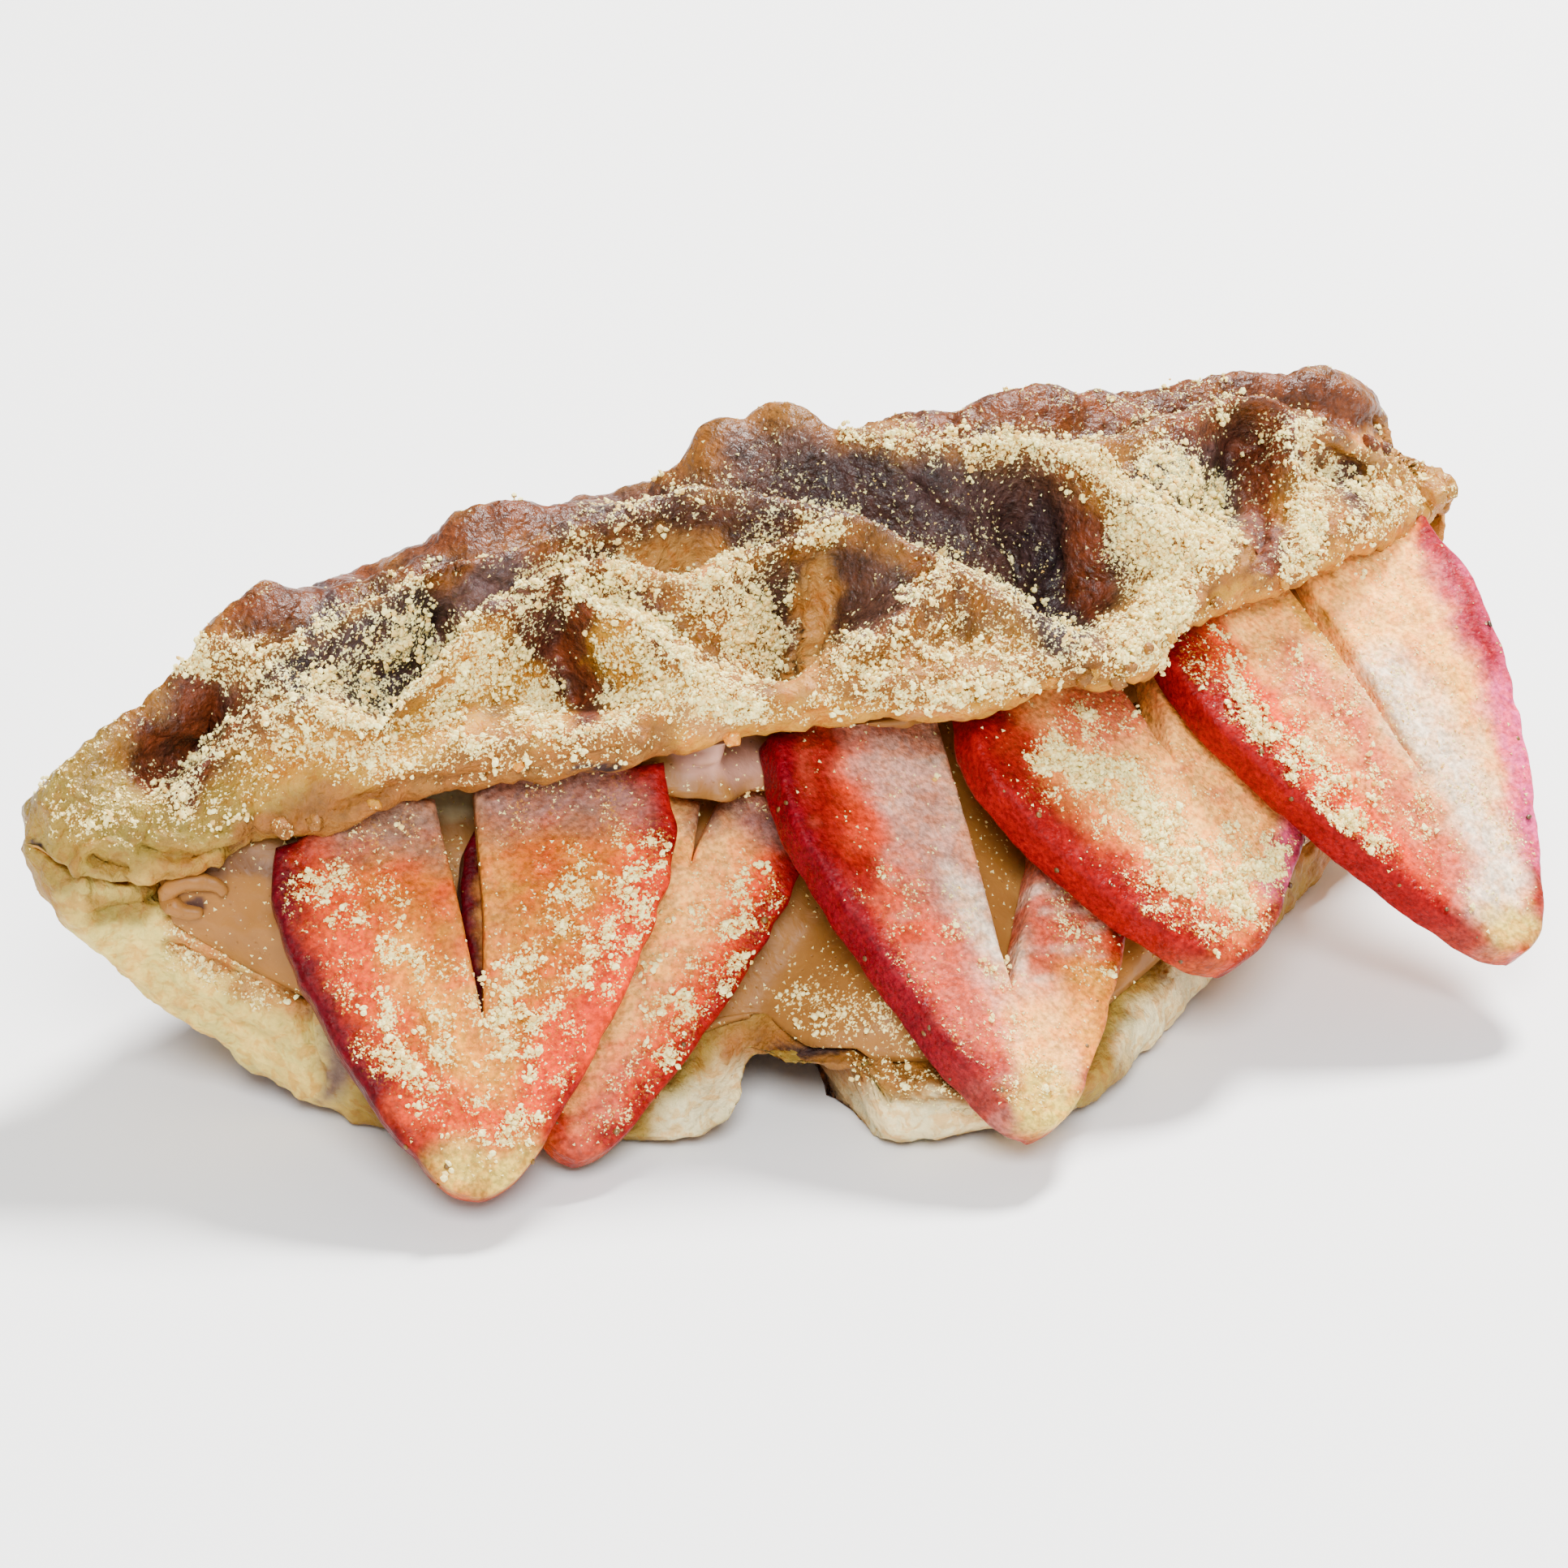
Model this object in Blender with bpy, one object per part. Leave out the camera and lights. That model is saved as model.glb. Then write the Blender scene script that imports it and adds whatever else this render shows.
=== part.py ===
"""Croffle sandwich: a waffle-pressed croissant slit along its front, cream and fruit slices inside.

Metres, +Z up.  The long axis runs along +X, the open front faces -Y, the base rests on z = 0.
"""
import math

import bpy
import numpy as np

MM = 0.001
# Moves the model so that its box is centred on the origin, in millimetres.
FRAME_SHIFT = (0.0, 0.44, 0.0)

# Overall pastry sizes, in millimetres.
HALF_LENGTH = 67.5
LEFT_TIP = (15.0, 25.0)
RIGHT_TIP = (10.0, 30.0)

# Outlines of the pastry along its length: (x, value) stations.
LIP_FRONT_TOP = ((-67.5, 15.0), (-66.0, 11.0), (-60.0, 8.5), (-52.0, 5.5), (-42.0, 1.0), (-30.0, -3.0),
                 (-14.0, -7.5), (2.0, -11.5), (17.0, -13.5), (30.0, -8.5), (43.0, -3.0), (56.0, 1.5),
                 (65.5, 6.0), (67.5, 10.0))
LIP_FRONT_LOW = ((-67.5, 15.0), (-66.0, 11.0), (-60.0, 8.5), (-53.0, 4.5), (-44.0, -4.5), (-30.0, -14.0),
                 (-14.0, -21.5), (0.0, -28.0), (8.0, -28.5), (17.0, -23.5), (30.0, -14.5), (38.0, -9.5),
                 (44.0, -6.0), (57.0, 1.0), (65.5, 6.0), (67.5, 10.0))
BACK_EDGE = ((-67.5, 15.0), (-66.0, 18.5), (-61.0, 21.5), (-50.0, 26.5), (-34.0, 32.5), (-10.0, 35.0),
             (12.0, 35.0), (36.0, 32.0), (54.0, 25.0), (63.0, 17.5), (66.5, 13.5), (67.5, 10.0))
CROWN_LINE = ((-67.5, 15.0), (-50.0, 15.0), (-25.0, 14.0), (5.0, 13.0), (30.0, 10.0), (50.0, 9.5),
              (67.5, 10.0))
TOP_HEIGHT = ((-67.5, 25.0), (-66.0, 29.0), (-60.0, 33.3), (-52.0, 38.0), (-42.0, 42.4), (-28.0, 45.3),
              (-10.0, 46.5), (12.0, 48.0), (36.0, 47.5), (50.0, 46.0), (57.0, 41.5), (63.0, 35.5),
              (66.5, 32.5), (67.5, 30.0))
BASE_HEIGHT = ((-67.5, 25.0), (-66.3, 20.5), (-61.0, 12.5), (-55.0, 6.0), (-48.0, 0.8), (-40.0, -0.6),
               (40.0, -0.6), (50.0, 1.5), (58.0, 8.0), (64.0, 19.0), (66.5, 26.0), (67.5, 30.0))
MOUTH_TOP = ((-67.5, 25.0), (-60.0, 23.5), (-52.0, 25.5), (-40.0, 28.5), (-20.0, 30.5), (10.0, 31.5),
             (28.0, 32.5), (44.0, 33.0), (56.0, 32.0), (67.5, 30.0))
MOUTH_BOTTOM = ((-67.5, 25.0), (-60.0, 21.5), (-52.0, 15.5), (-40.0, 10.5), (-20.0, 8.5), (10.0, 8.0),
                (35.0, 7.5), (45.0, 7.0), (52.0, 12.0), (60.0, 24.0), (67.5, 30.0))
MOUTH_INNER = ((-67.5, 15.0), (-60.0, 11.5), (-52.0, 12.0), (-40.0, 17.0), (-20.0, 20.0), (30.0, 20.0),
               (50.0, 15.0), (58.0, 10.0), (67.5, 10.0))

# Waffle relief: wells sink between ridges, with sloping walls.
WELL_SLOPE = 1.35
WELL_DEPTH = 8.0
RIDGE_ROUND = 1.4
# Ridges on the visible top: polylines of (x, arc length from the crown, front negative).
RIDGES = (
    ((-64.0, 0.0), (-58.0, 1.0), (-52.0, 0.0), (-47.5, -7.0), (-40.9, -15.0)),
    ((-66.0, -3.0), (-61.0, -8.0), (-57.4, -9.3), (-46.2, -9.8)),
    ((-50.0, -2.5), (-38.0, -4.2), (-31.0, -5.2)),
    ((-40.7, -15.3), (-29.3, -8.9), (-22.4, -8.4), (-11.9, -12.7), (-2.1, -11.0), (3.5, -12.3)),
    ((-31.0, -5.2), (-23.0, -5.3), (-7.4, -3.4), (3.5, -12.3), (12.9, -25.7), (21.0, -31.0)),
    ((-22.4, -8.2), (-18.6, -13.7), (-13.4, -22.2), (-9.5, -27.5)),
    ((-7.3, -25.2), (0.9, -21.2), (8.1, -19.4)),
    ((2.0, 5.0), (6.0, -0.5), (11.2, -3.2), (22.9, -10.9), (32.4, -21.6)),
    ((22.9, -10.9), (28.9, -7.2), (43.1, -4.6), (46.5, -6.4)),
    ((46.5, -6.4), (44.6, -17.1), (42.8, -22.3)),
    ((46.5, -6.4), (50.5, -9.8), (60.0, -8.5), (66.0, -6.0)),
    ((-58.0, 1.0), (-38.0, 4.0), (-24.0, 4.5), (-8.0, 3.5), (2.0, 4.5), (16.0, 0.5), (42.0, 1.0),
     (60.0, 0.0)),
)
# Knobs of dough standing up at the rear of the top: x, arc length, radius, height.
KNOBS = ((8.5, 3.0, 6.0, 2.6), (56.0, 1.0, 6.0, 2.2), (33.0, 1.0, 7.0, 1.0), (-16.0, 3.0, 8.0, 1.0))
# The pressed lattice goes on round the back and the base.
LATTICE_PITCH = 16.0
LATTICE_START = 3.0
BASE_WELL_DEPTH = 4.0
# Open well at the front edge of the lower jaw.
NOTCH = (-21.5, -14.5, -8.8, -7.6)
NOTCH_BACK = 5.0
NOTCH_RISE = 5.5

# Fruit slices: tip, left shoulder, right shoulder (front face), then the notch:
# start along the length, sideways offset, left and right opening, and left fullness.
SLICE_THICKNESS = 3.6
SLICES = {
    "strawberry_1": ((-42.8, -21.5, 4.2), (-51.4, 1.0, 25.3), (-17.2, -6.8, 29.3), 0.47, 0.0, 0.17, 0.02, 0.0),
    "strawberry_2": ((-33.2, -18.8, 3.4), (-32.1, 2.5, 25.3), (-4.2, -6.0, 22.6), 0.84, 0.36, 0.05, 0.05, 0.14),
    "strawberry_3": ((1.4, -35.0, 5.8), (-9.4, -5.2, 30.3), (26.8, -5.0, 22.5), 0.35, 0.0, 0.05, 0.60, 0.0),
    "strawberry_4": ((24.3, -27.5, 11.6), (6.6, -11.5, 30.9), (47.5, -2.0, 25.1), 0.72, 0.0, 0.18, 0.08, 0.05),
    "strawberry_5": ((50.5, -32.0, 8.2), (26.6, -8.8, 32.0), (62.1, -1.0, 32.0), 0.50, 0.0, 0.07, 0.07, 0.0),
}

# Cream between the jaws.
CREAM_RANGE = (-58.0, 58.5)
CREAM_GAP = 0.7
CREAM_BULGE = ((-58.0, 0.2), (-50.0, 2.2), (-40.0, 2.0), (0.0, 1.0), (30.0, 1.5), (38.0, 5.0), (44.0, 8.5),
               (50.0, 7.0), (58.5, 0.3))


def curve(stations, x):
    """Smooth value at x through the stations, without overshoot at the ends."""
    sx = np.array([p[0] for p in stations])
    sy = np.array([p[1] for p in stations])
    slope = np.diff(sy) / np.diff(sx)
    tangent = np.zeros(len(sx))
    for i in range(1, len(sx) - 1):
        if slope[i - 1] * slope[i] > 0.0:
            tangent[i] = 2.0 * slope[i - 1] * slope[i] / (slope[i - 1] + slope[i])
    tangent[0] = slope[0]
    tangent[-1] = slope[-1]
    x = np.clip(np.asarray(x, float), sx[0], sx[-1])
    k = np.clip(np.searchsorted(sx, x, side="right") - 1, 0, len(sx) - 2)
    h = sx[k + 1] - sx[k]
    t = (x - sx[k]) / h
    t2 = t * t
    t3 = t2 * t
    first = (2 * t3 - 3 * t2 + 1) * sy[k] + (t3 - 2 * t2 + t) * h * tangent[k]
    second = (3 * t2 - 2 * t3) * sy[k + 1] + (t3 - t2) * h * tangent[k + 1]
    return first + second


def ramp(value, low, high):
    """Smooth 0 to 1 between low and high."""
    t = np.clip((np.asarray(value, float) - low) / (high - low), 0.0, 1.0)
    return t * t * (3.0 - 2.0 * t)


def notch_window(x):
    """1 inside the notch of the lower lip, 0 outside."""
    return ramp(x, NOTCH[0], NOTCH[1]) * (1.0 - ramp(x, NOTCH[2], NOTCH[3]))


def section_frame(x):
    """Control points (y, z) round the pastry's section at each x, from the mouth's inner corner."""
    lip_top = curve(LIP_FRONT_TOP, x)
    lip_low = curve(LIP_FRONT_LOW, x)
    back = curve(BACK_EDGE, x)
    crown = curve(CROWN_LINE, x)
    top = curve(TOP_HEIGHT, x)
    base = curve(BASE_HEIGHT, x)
    mouth_top = curve(MOUTH_TOP, x)
    mouth_low = curve(MOUTH_BOTTOM, x)
    inner = curve(MOUTH_INNER, x)
    jaw = top - mouth_top
    low_jaw = mouth_low - base
    notch = notch_window(x)
    rows = []
    rows.append((inner, 0.5 * (mouth_top + mouth_low)))
    rows.append((0.45 * inner + 0.55 * lip_top, mouth_top + 0.03 * jaw))
    rows.append((lip_top + 0.12 * (crown - lip_top), mouth_top + 0.02 * jaw))
    rows.append((lip_top, mouth_top + 0.20 * jaw))
    rows.append((lip_top + 0.13 * (crown - lip_top), mouth_top + 0.50 * jaw))
    rows.append((lip_top + 0.50 * (crown - lip_top), mouth_top + 0.86 * jaw))
    rows.append((crown, top))
    rows.append((crown + 0.55 * (back - crown), top - 0.16 * (top - base)))
    rows.append((back - 0.05 * (back - crown), top - 0.42 * (top - base)))
    rows.append((back - 0.12 * (back - crown), base + 0.26 * (top - base)))
    rows.append((back - 0.45 * (back - crown), base + 0.012 * (top - base)))
    rows.append((0.55 * back + 0.45 * lip_low - 6.0 * (top - base) / 46.0, base))
    rows.append((lip_low + 0.22 * (crown - lip_low) + 2.0 * notch, base + 0.02 * low_jaw))
    rows.append((lip_low + 0.04 * (crown - lip_low) + NOTCH_BACK * notch,
                 base + 0.18 * low_jaw + NOTCH_RISE * notch))
    rows.append((lip_low + 0.5 * NOTCH_BACK * notch, base + 0.52 * low_jaw + 0.45 * NOTCH_RISE * notch))
    rows.append((lip_low + 0.08 * (crown - lip_low), base + 0.88 * low_jaw))
    rows.append((lip_low + 0.40 * (inner - lip_low), mouth_low + 0.04 * low_jaw))
    rows.append((inner - 0.18 * (inner - lip_low), mouth_low + 0.15 * low_jaw))
    return np.array(rows).transpose(2, 0, 1)


SEGMENT_STEPS = (2, 2, 2, 4, 6, 6, 4, 4, 4, 4, 3, 4, 2, 2, 2, 3, 2, 2)
CROWN_POINT = 6


def smooth_ring(points, steps):
    """Closed ring through the control points; steps[i] samples in segment i."""
    n = points.shape[1]
    out = []
    for i in range(n):
        p0 = points[:, (i - 1) % n]
        p1 = points[:, i]
        p2 = points[:, (i + 1) % n]
        p3 = points[:, (i + 2) % n]
        for j in range(steps[i]):
            t = j / steps[i]
            a = -0.5 * t + t * t - 0.5 * t ** 3
            b = 1.0 - 2.5 * t * t + 1.5 * t ** 3
            c = 0.5 * t + 2.0 * t * t - 1.5 * t ** 3
            d = -0.5 * t * t + 0.5 * t ** 3
            out.append(a * p0 + b * p1 + c * p2 + d * p3)
    return np.stack(out, axis=1)


def stations_along(count):
    """x of each section, packed closer toward both tips."""
    u = np.linspace(0.0, 1.0, count + 2)[1:-1]
    s = 2.0 * u - 1.0
    return HALF_LENGTH * (0.55 * s + 0.45 * np.sin(0.5 * math.pi * s))


def pastry_base(count, steps):
    """Grid of the plain pastry surface: positions (count, ring, 3)."""
    x = stations_along(count)
    ring = smooth_ring(section_frame(x), steps)
    grid = np.empty(ring.shape[:2] + (3,))
    grid[:, :, 0] = x[:, None]
    grid[:, :, 1:] = ring
    low = slice(sum(steps[:11]), sum(steps[:17]))
    for _ in range(3):
        for record in SLICES.values():
            grid[:, low] = push_behind(grid[:, low], record, 1.0, 3.0, 0.5)
    return grid


def ring_length(grid, steps):
    """Arc length round each section, zero on the crown, negative toward the front."""
    jump = np.linalg.norm(np.diff(grid[:, :, 1:], axis=1), axis=2)
    run = np.concatenate([np.zeros((grid.shape[0], 1)), np.cumsum(jump, axis=1)], axis=1)
    crown = sum(steps[:CROWN_POINT])
    return run - run[:, crown:crown + 1]


def grid_normals(grid):
    """Outward unit normals of a tube grid."""
    along = np.gradient(grid, axis=0)
    around = np.roll(grid, -1, axis=1) - np.roll(grid, 1, axis=1)
    normal = np.cross(along, around)
    return normal / np.maximum(np.linalg.norm(normal, axis=2, keepdims=True), 1e-9)


def line_distance(px, py, line):
    """Distance from points to a polyline."""
    best = np.full(px.shape, 1e9)
    for (ax, ay), (bx, by) in zip(line[:-1], line[1:]):
        dx = bx - ax
        dy = by - ay
        t = np.clip(((px - ax) * dx + (py - ay) * dy) / (dx * dx + dy * dy), 0.0, 1.0)
        best = np.minimum(best, np.hypot(px - ax - t * dx, py - ay - t * dy))
    return best


def well_depth(x, q, lip_q, end_q):
    """Depth of the pressed wells at x and arc length q.

    lip_q is the arc length of the top lip's edge and end_q that of the lower lip's.
    """
    near = np.full(x.shape, 1e9)
    for line in RIDGES:
        near = np.minimum(near, line_distance(x, q, line))
    front = np.sqrt(near * near + RIDGE_ROUND ** 2) - RIDGE_ROUND
    front = np.minimum(WELL_SLOPE * front, WELL_DEPTH)
    front = front * ramp(q, lip_q + 1.0, lip_q + 6.5)
    a = (x + q) / math.sqrt(2.0) / LATTICE_PITCH
    b = (x - q) / math.sqrt(2.0) / LATTICE_PITCH
    near = LATTICE_PITCH * np.minimum(np.abs(a - np.round(a)), np.abs(b - np.round(b)))
    rear = np.sqrt(near * near + RIDGE_ROUND ** 2) - RIDGE_ROUND
    rear = np.minimum(0.8 * rear, BASE_WELL_DEPTH)
    rear = rear * (1.0 - ramp(q, end_q - 16.0, end_q - 4.0))
    mix = ramp(q, LATTICE_START - 2.0, LATTICE_START + 2.0)
    tip_fade = 1.0 - ramp(np.abs(x), 57.0, 66.0)
    knobs = np.zeros(x.shape)
    for kx, kq, radius, height in KNOBS:
        knobs += height * (1.0 - ramp(np.hypot(x - kx, q - kq), 0.0, radius))
    return (front * (1.0 - mix) + rear * mix) * tip_fade - knobs


def soften(field, passes):
    """Blur a grid a little, keeping its ends."""
    for _ in range(passes):
        wide = 0.5 * field + 0.25 * (np.roll(field, 1, axis=1) + np.roll(field, -1, axis=1))
        field = wide.copy()
        field[1:-1] = 0.5 * wide[1:-1] + 0.25 * (wide[:-2] + wide[2:])
    return field


def pastry_grid(count, steps, passes):
    """Pastry surface with its pressed wells, and the plain grid and arc lengths."""
    plain = pastry_base(count, steps)
    q = ring_length(plain, steps)
    lip_index = sum(steps[:3])
    end_index = sum(steps[:14])
    lip_q = q[:, lip_index:lip_index + 1]
    end_q = q[:, end_index:end_index + 1]
    index = np.arange(plain.shape[1])[None, :]
    outer = (index >= lip_index) & (index <= end_index)
    depth = soften(well_depth(plain[:, :, 0], q, lip_q, end_q) * outer, passes)
    grid = plain - grid_normals(plain) * depth[:, :, None]
    grid[:, :, 2] = np.maximum(grid[:, :, 2], 0.0)
    return grid, plain, q


def tube_mesh(grid, tip_a, tip_b):
    """Vertices and faces of a closed tube with one point at each end."""
    n, m = grid.shape[:2]
    verts = [tuple(p) for p in grid.reshape(-1, 3)]
    verts.append(tuple(tip_a))
    verts.append(tuple(tip_b))
    faces = []
    for i in range(n - 1):
        for j in range(m):
            k = (j + 1) % m
            faces.append((i * m + j, (i + 1) * m + j, (i + 1) * m + k, i * m + k))
    for j in range(m):
        k = (j + 1) % m
        faces.append((n * m, j, k))
        faces.append((n * m + 1, (n - 1) * m + k, (n - 1) * m + j))
    return verts, faces


def slice_axes(record):
    """Tip, length vector, half-width vector and unit normal of a slice's front face."""
    tip = np.array(record[0])
    left = np.array(record[1])
    right = np.array(record[2])
    length = 0.5 * (left + right) - tip
    half = 0.5 * (right - left)
    normal = np.cross(half, length)
    return tip, length, half, normal / np.linalg.norm(normal)


def slice_width(t):
    """Half width of a slice from its tip at 0 to its shoulders at 1."""
    body = 0.12 * (1.0 - np.exp(-t / 0.02)) + 0.88 * (1.0 - (1.0 - t) ** 1.5) ** 0.95
    return body * (1.0 - 0.07 * ramp(t, 0.85, 1.0))


def slice_side(record, t, side):
    """Outer and inner edge of one half of the outline at t, as fractions of the half width."""
    outer = slice_width(t)
    if side < 0:
        outer = outer * (1.0 + record[7] * np.sin(math.pi * t))
    centre = record[4] * t
    opening = record[5] if side < 0 else record[6]
    gap = opening * np.maximum(t - record[3], 0.0) / (1.0 - record[3])
    return side * outer, centre + side * gap


def slice_point(record, t, across, depth):
    """Point of a slice from its own coordinates."""
    tip, length, half, normal = slice_axes(record)
    return tip + t * length + across * half - depth * normal


def slice_mesh(record, rows, columns):
    """Closed flat heart-shaped slice with a notch at the top."""
    levels = [max((i / rows) ** 1.3, 0.004) for i in range(rows + 1)]
    split = int(np.argmin(np.abs(np.array(levels) - record[3])))
    verts = []
    index = {}
    faces = []

    def vertex(side, layer, i, j):
        shared = j == 0 and i <= split
        key = (0 if shared else side, layer, i, j)
        if key in index:
            return index[key]
        t = levels[i]
        outer, inner = slice_side(record, t, side)
        if shared:
            inner = record[4] * t
        c = j / columns
        across = inner + (outer - inner) * c
        rise = 0.05 * math.sin(math.pi * min(c * 1.15, 1.0)) - 0.03 * c
        along = t + rise * t ** 5
        verts.append(slice_point(record, along, across, SLICE_THICKNESS * layer))
        index[key] = len(verts) - 1
        return index[key]

    def quad(a, b, c, d, flip):
        ring = []
        for item in ((d, c, b, a) if flip else (a, b, c, d)):
            if item not in ring:
                ring.append(item)
        if len(ring) > 2:
            faces.append(tuple(ring))

    for side in (1, -1):
        flip = side < 0
        for i in range(rows):
            for j in range(columns):
                cell = ((i, j), (i, j + 1), (i + 1, j + 1), (i + 1, j))
                quad(*[vertex(side, 0, *p) for p in cell], flip)
                quad(*[vertex(side, 1, *p) for p in cell], not flip)
            edge = [vertex(side, 0, i, columns), vertex(side, 1, i, columns),
                    vertex(side, 1, i + 1, columns), vertex(side, 0, i + 1, columns)]
            quad(*edge, flip)
            if i >= split:
                edge = [vertex(side, 1, i, 0), vertex(side, 0, i, 0),
                        vertex(side, 0, i + 1, 0), vertex(side, 1, i + 1, 0)]
                quad(*edge, flip)
        for j in range(columns):
            edge = [vertex(side, 0, rows, j), vertex(side, 0, rows, j + 1),
                    vertex(side, 1, rows, j + 1), vertex(side, 1, rows, j)]
            quad(*edge, flip)
            edge = [vertex(side, 1, 0, j), vertex(side, 1, 0, j + 1),
                    vertex(side, 0, 0, j + 1), vertex(side, 0, 0, j)]
            quad(*edge, flip)
    return verts, faces


def slice_shadow(record, points, depth, margin, fade):
    """1 where a point, moved along Y to the given depth of the slice, falls on its outline."""
    tip, length, half, normal = slice_axes(record)
    frame = np.linalg.inv(np.stack([length, half, normal], axis=1))
    rel = points - tip
    shift = (rel @ normal + depth) / abs(normal[1])
    rel[..., 1] += shift
    local = rel @ frame.T
    t = local[..., 0]
    width = slice_width(np.clip(t, 0.0, 1.0)) * (1.02 + record[7])
    side = (np.abs(local[..., 1]) - width) * np.linalg.norm(half)
    ends = np.maximum(-t, t - 1.05) * np.linalg.norm(length)
    weight = 1.0 - ramp(np.maximum(side, ends), margin, margin + fade)
    return weight, np.maximum(shift, 0.0)


def push_behind(points, record, margin, fade, gap):
    """Move points back along Y until they clear the slice's rear face."""
    front, _ = slice_shadow(record, points, -gap, margin, fade)
    rear, shift = slice_shadow(record, points, SLICE_THICKNESS + gap, margin, fade)
    moved = points.copy()
    moved[..., 1] += shift * np.maximum(front, rear)
    return moved


def cream_grid(count, front_steps, inner_step, margin):
    """Cream filling the mouth, its front face pressed in behind each slice."""
    steps = tuple(4 * s for s in SEGMENT_STEPS)
    fine = pastry_base(400, steps)
    first = sum(steps[:15])
    low = fine[:, first::inner_step]
    up = fine[:, :sum(steps[:2]) + 1:inner_step]
    line = np.concatenate([low, up], axis=1)
    x = np.linspace(CREAM_RANGE[0], CREAM_RANGE[1], count + 2)[1:-1]
    place = np.interp(x, fine[:, 0, 0], np.arange(400))
    k = np.minimum(place.astype(int), 398)
    w = (place - k)[:, None, None]
    line = line[k] * (1.0 - w) + line[k + 1] * w
    tangent = np.gradient(line[:, :, 1:], axis=1)
    tangent /= np.maximum(np.linalg.norm(tangent, axis=2, keepdims=True), 1e-9)
    inset = line.copy()
    inset[:, :, 1] -= tangent[:, :, 1] * CREAM_GAP
    inset[:, :, 2] += tangent[:, :, 0] * CREAM_GAP
    start = inset[:, -1]
    end = inset[:, 0]
    bulge = curve(CREAM_BULGE, x)
    front = []
    for j in range(1, front_steps):
        s = j / front_steps
        p = start * (1.0 - s) + end * s
        swell = bulge * math.sin(math.pi * s ** 1.5)
        p = p.copy()
        p[:, 1] -= swell
        front.append(p)
    grid = np.concatenate([inset, np.stack(front, axis=1)], axis=1)
    n_low = low.shape[1]
    for _ in range(8):
        for record in SLICES.values():
            grid = push_behind(grid, record, margin, 1.0, 0.5)
        for i in range(count):
            floor = line[i, :n_low]
            roof = line[i, n_low:][::-1]
            low_z = np.interp(grid[i, :, 1], floor[:, 1], floor[:, 2]) + CREAM_GAP
            top_z = np.interp(grid[i, :, 1], roof[:, 1], roof[:, 2]) - CREAM_GAP
            behind = grid[i, :, 1] > floor[0, 1]
            grid[i, :, 2] = np.where(behind, np.maximum(grid[i, :, 2], low_z), grid[i, :, 2])
            grid[i, :, 2] = np.where(grid[i, :, 1] > roof[0, 1], np.minimum(grid[i, :, 2], top_z),
                                     grid[i, :, 2])
    return grid


def add_solid(name, verts, faces, color):
    mesh = bpy.data.meshes.new(name)
    points = (np.array(verts) + np.array(FRAME_SHIFT)) * MM
    mesh.from_pydata([tuple(p) for p in points], [], faces)
    mesh.update()
    material = bpy.data.materials.new(name)
    material.use_nodes = True
    material.node_tree.nodes["Principled BSDF"].inputs["Base Color"].default_value = color + (1.0,)
    mesh.materials.append(material)
    solid = bpy.data.objects.new(name, mesh)
    bpy.context.collection.objects.link(solid)
    return solid


def clear_scene():
    for item in list(bpy.data.objects):
        bpy.data.objects.remove(item, do_unlink=True)


def add_pastry():
    grid, _, _ = pastry_grid(90, SEGMENT_STEPS, 1)
    verts, faces = tube_mesh(grid, (-HALF_LENGTH,) + LEFT_TIP, (HALF_LENGTH,) + RIGHT_TIP)
    add_solid("pastry", verts, faces, (0.55, 0.30, 0.12))


def add_cream():
    grid = cream_grid(48, 9, 8, 2.0)[:, ::-1]
    first = grid[0].mean(axis=0)
    last = grid[-1].mean(axis=0)
    first[0] = CREAM_RANGE[0]
    last[0] = CREAM_RANGE[1]
    verts, faces = tube_mesh(grid, first, last)
    add_solid("cream", verts, faces, (0.80, 0.58, 0.36))


def add_slices():
    for name, record in SLICES.items():
        verts, faces = slice_mesh(record, 13, 3)
        add_solid(name, verts, faces, (0.85, 0.15, 0.08))


clear_scene()
add_pastry()
add_cream()
add_slices()
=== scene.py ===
"""Looks of the croffle sandwich: dusted waffle-pressed pastry, cream and fruit slices.

Lengths are in millimetres and turned into metres when a mesh is made.  The shape functions
repeat those of the part's source at a finer step, with the small relief and the colours added.
"""
import itertools
import math
from collections import namedtuple

import bpy
import numpy as np
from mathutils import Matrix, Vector


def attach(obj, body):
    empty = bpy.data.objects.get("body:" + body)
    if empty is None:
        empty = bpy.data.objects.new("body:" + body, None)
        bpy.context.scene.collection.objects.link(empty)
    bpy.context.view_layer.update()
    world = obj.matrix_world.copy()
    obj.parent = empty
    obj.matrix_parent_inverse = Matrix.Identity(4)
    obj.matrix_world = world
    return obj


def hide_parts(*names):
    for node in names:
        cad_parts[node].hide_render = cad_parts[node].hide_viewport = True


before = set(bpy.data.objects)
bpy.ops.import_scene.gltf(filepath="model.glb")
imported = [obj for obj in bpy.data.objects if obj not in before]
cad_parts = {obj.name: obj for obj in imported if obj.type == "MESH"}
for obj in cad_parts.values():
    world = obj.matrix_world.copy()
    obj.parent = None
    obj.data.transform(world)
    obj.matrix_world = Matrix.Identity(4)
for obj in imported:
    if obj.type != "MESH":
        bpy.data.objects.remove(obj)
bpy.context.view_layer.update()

MM = 0.001
# Moves the model so that the solids' box is centred on the origin, as in the part's source.
FRAME_SHIFT = (0.0, 0.44, 0.0)

# ---------------------------------------------------------------- camera
# The photograph is 1932 pixels square; the camera looks at AIM from the front left, above.
PHOTO_SIZE = 1932
AIM = (-6.2, -2.5, 24.0)
CAMERA_TURN = math.radians(27.0)
CAMERA_RISE = math.radians(28.0)
CAMERA_DISTANCE = 450.0
PIXEL_MM = 0.0685
SENSOR_MM = 36.0

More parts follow.
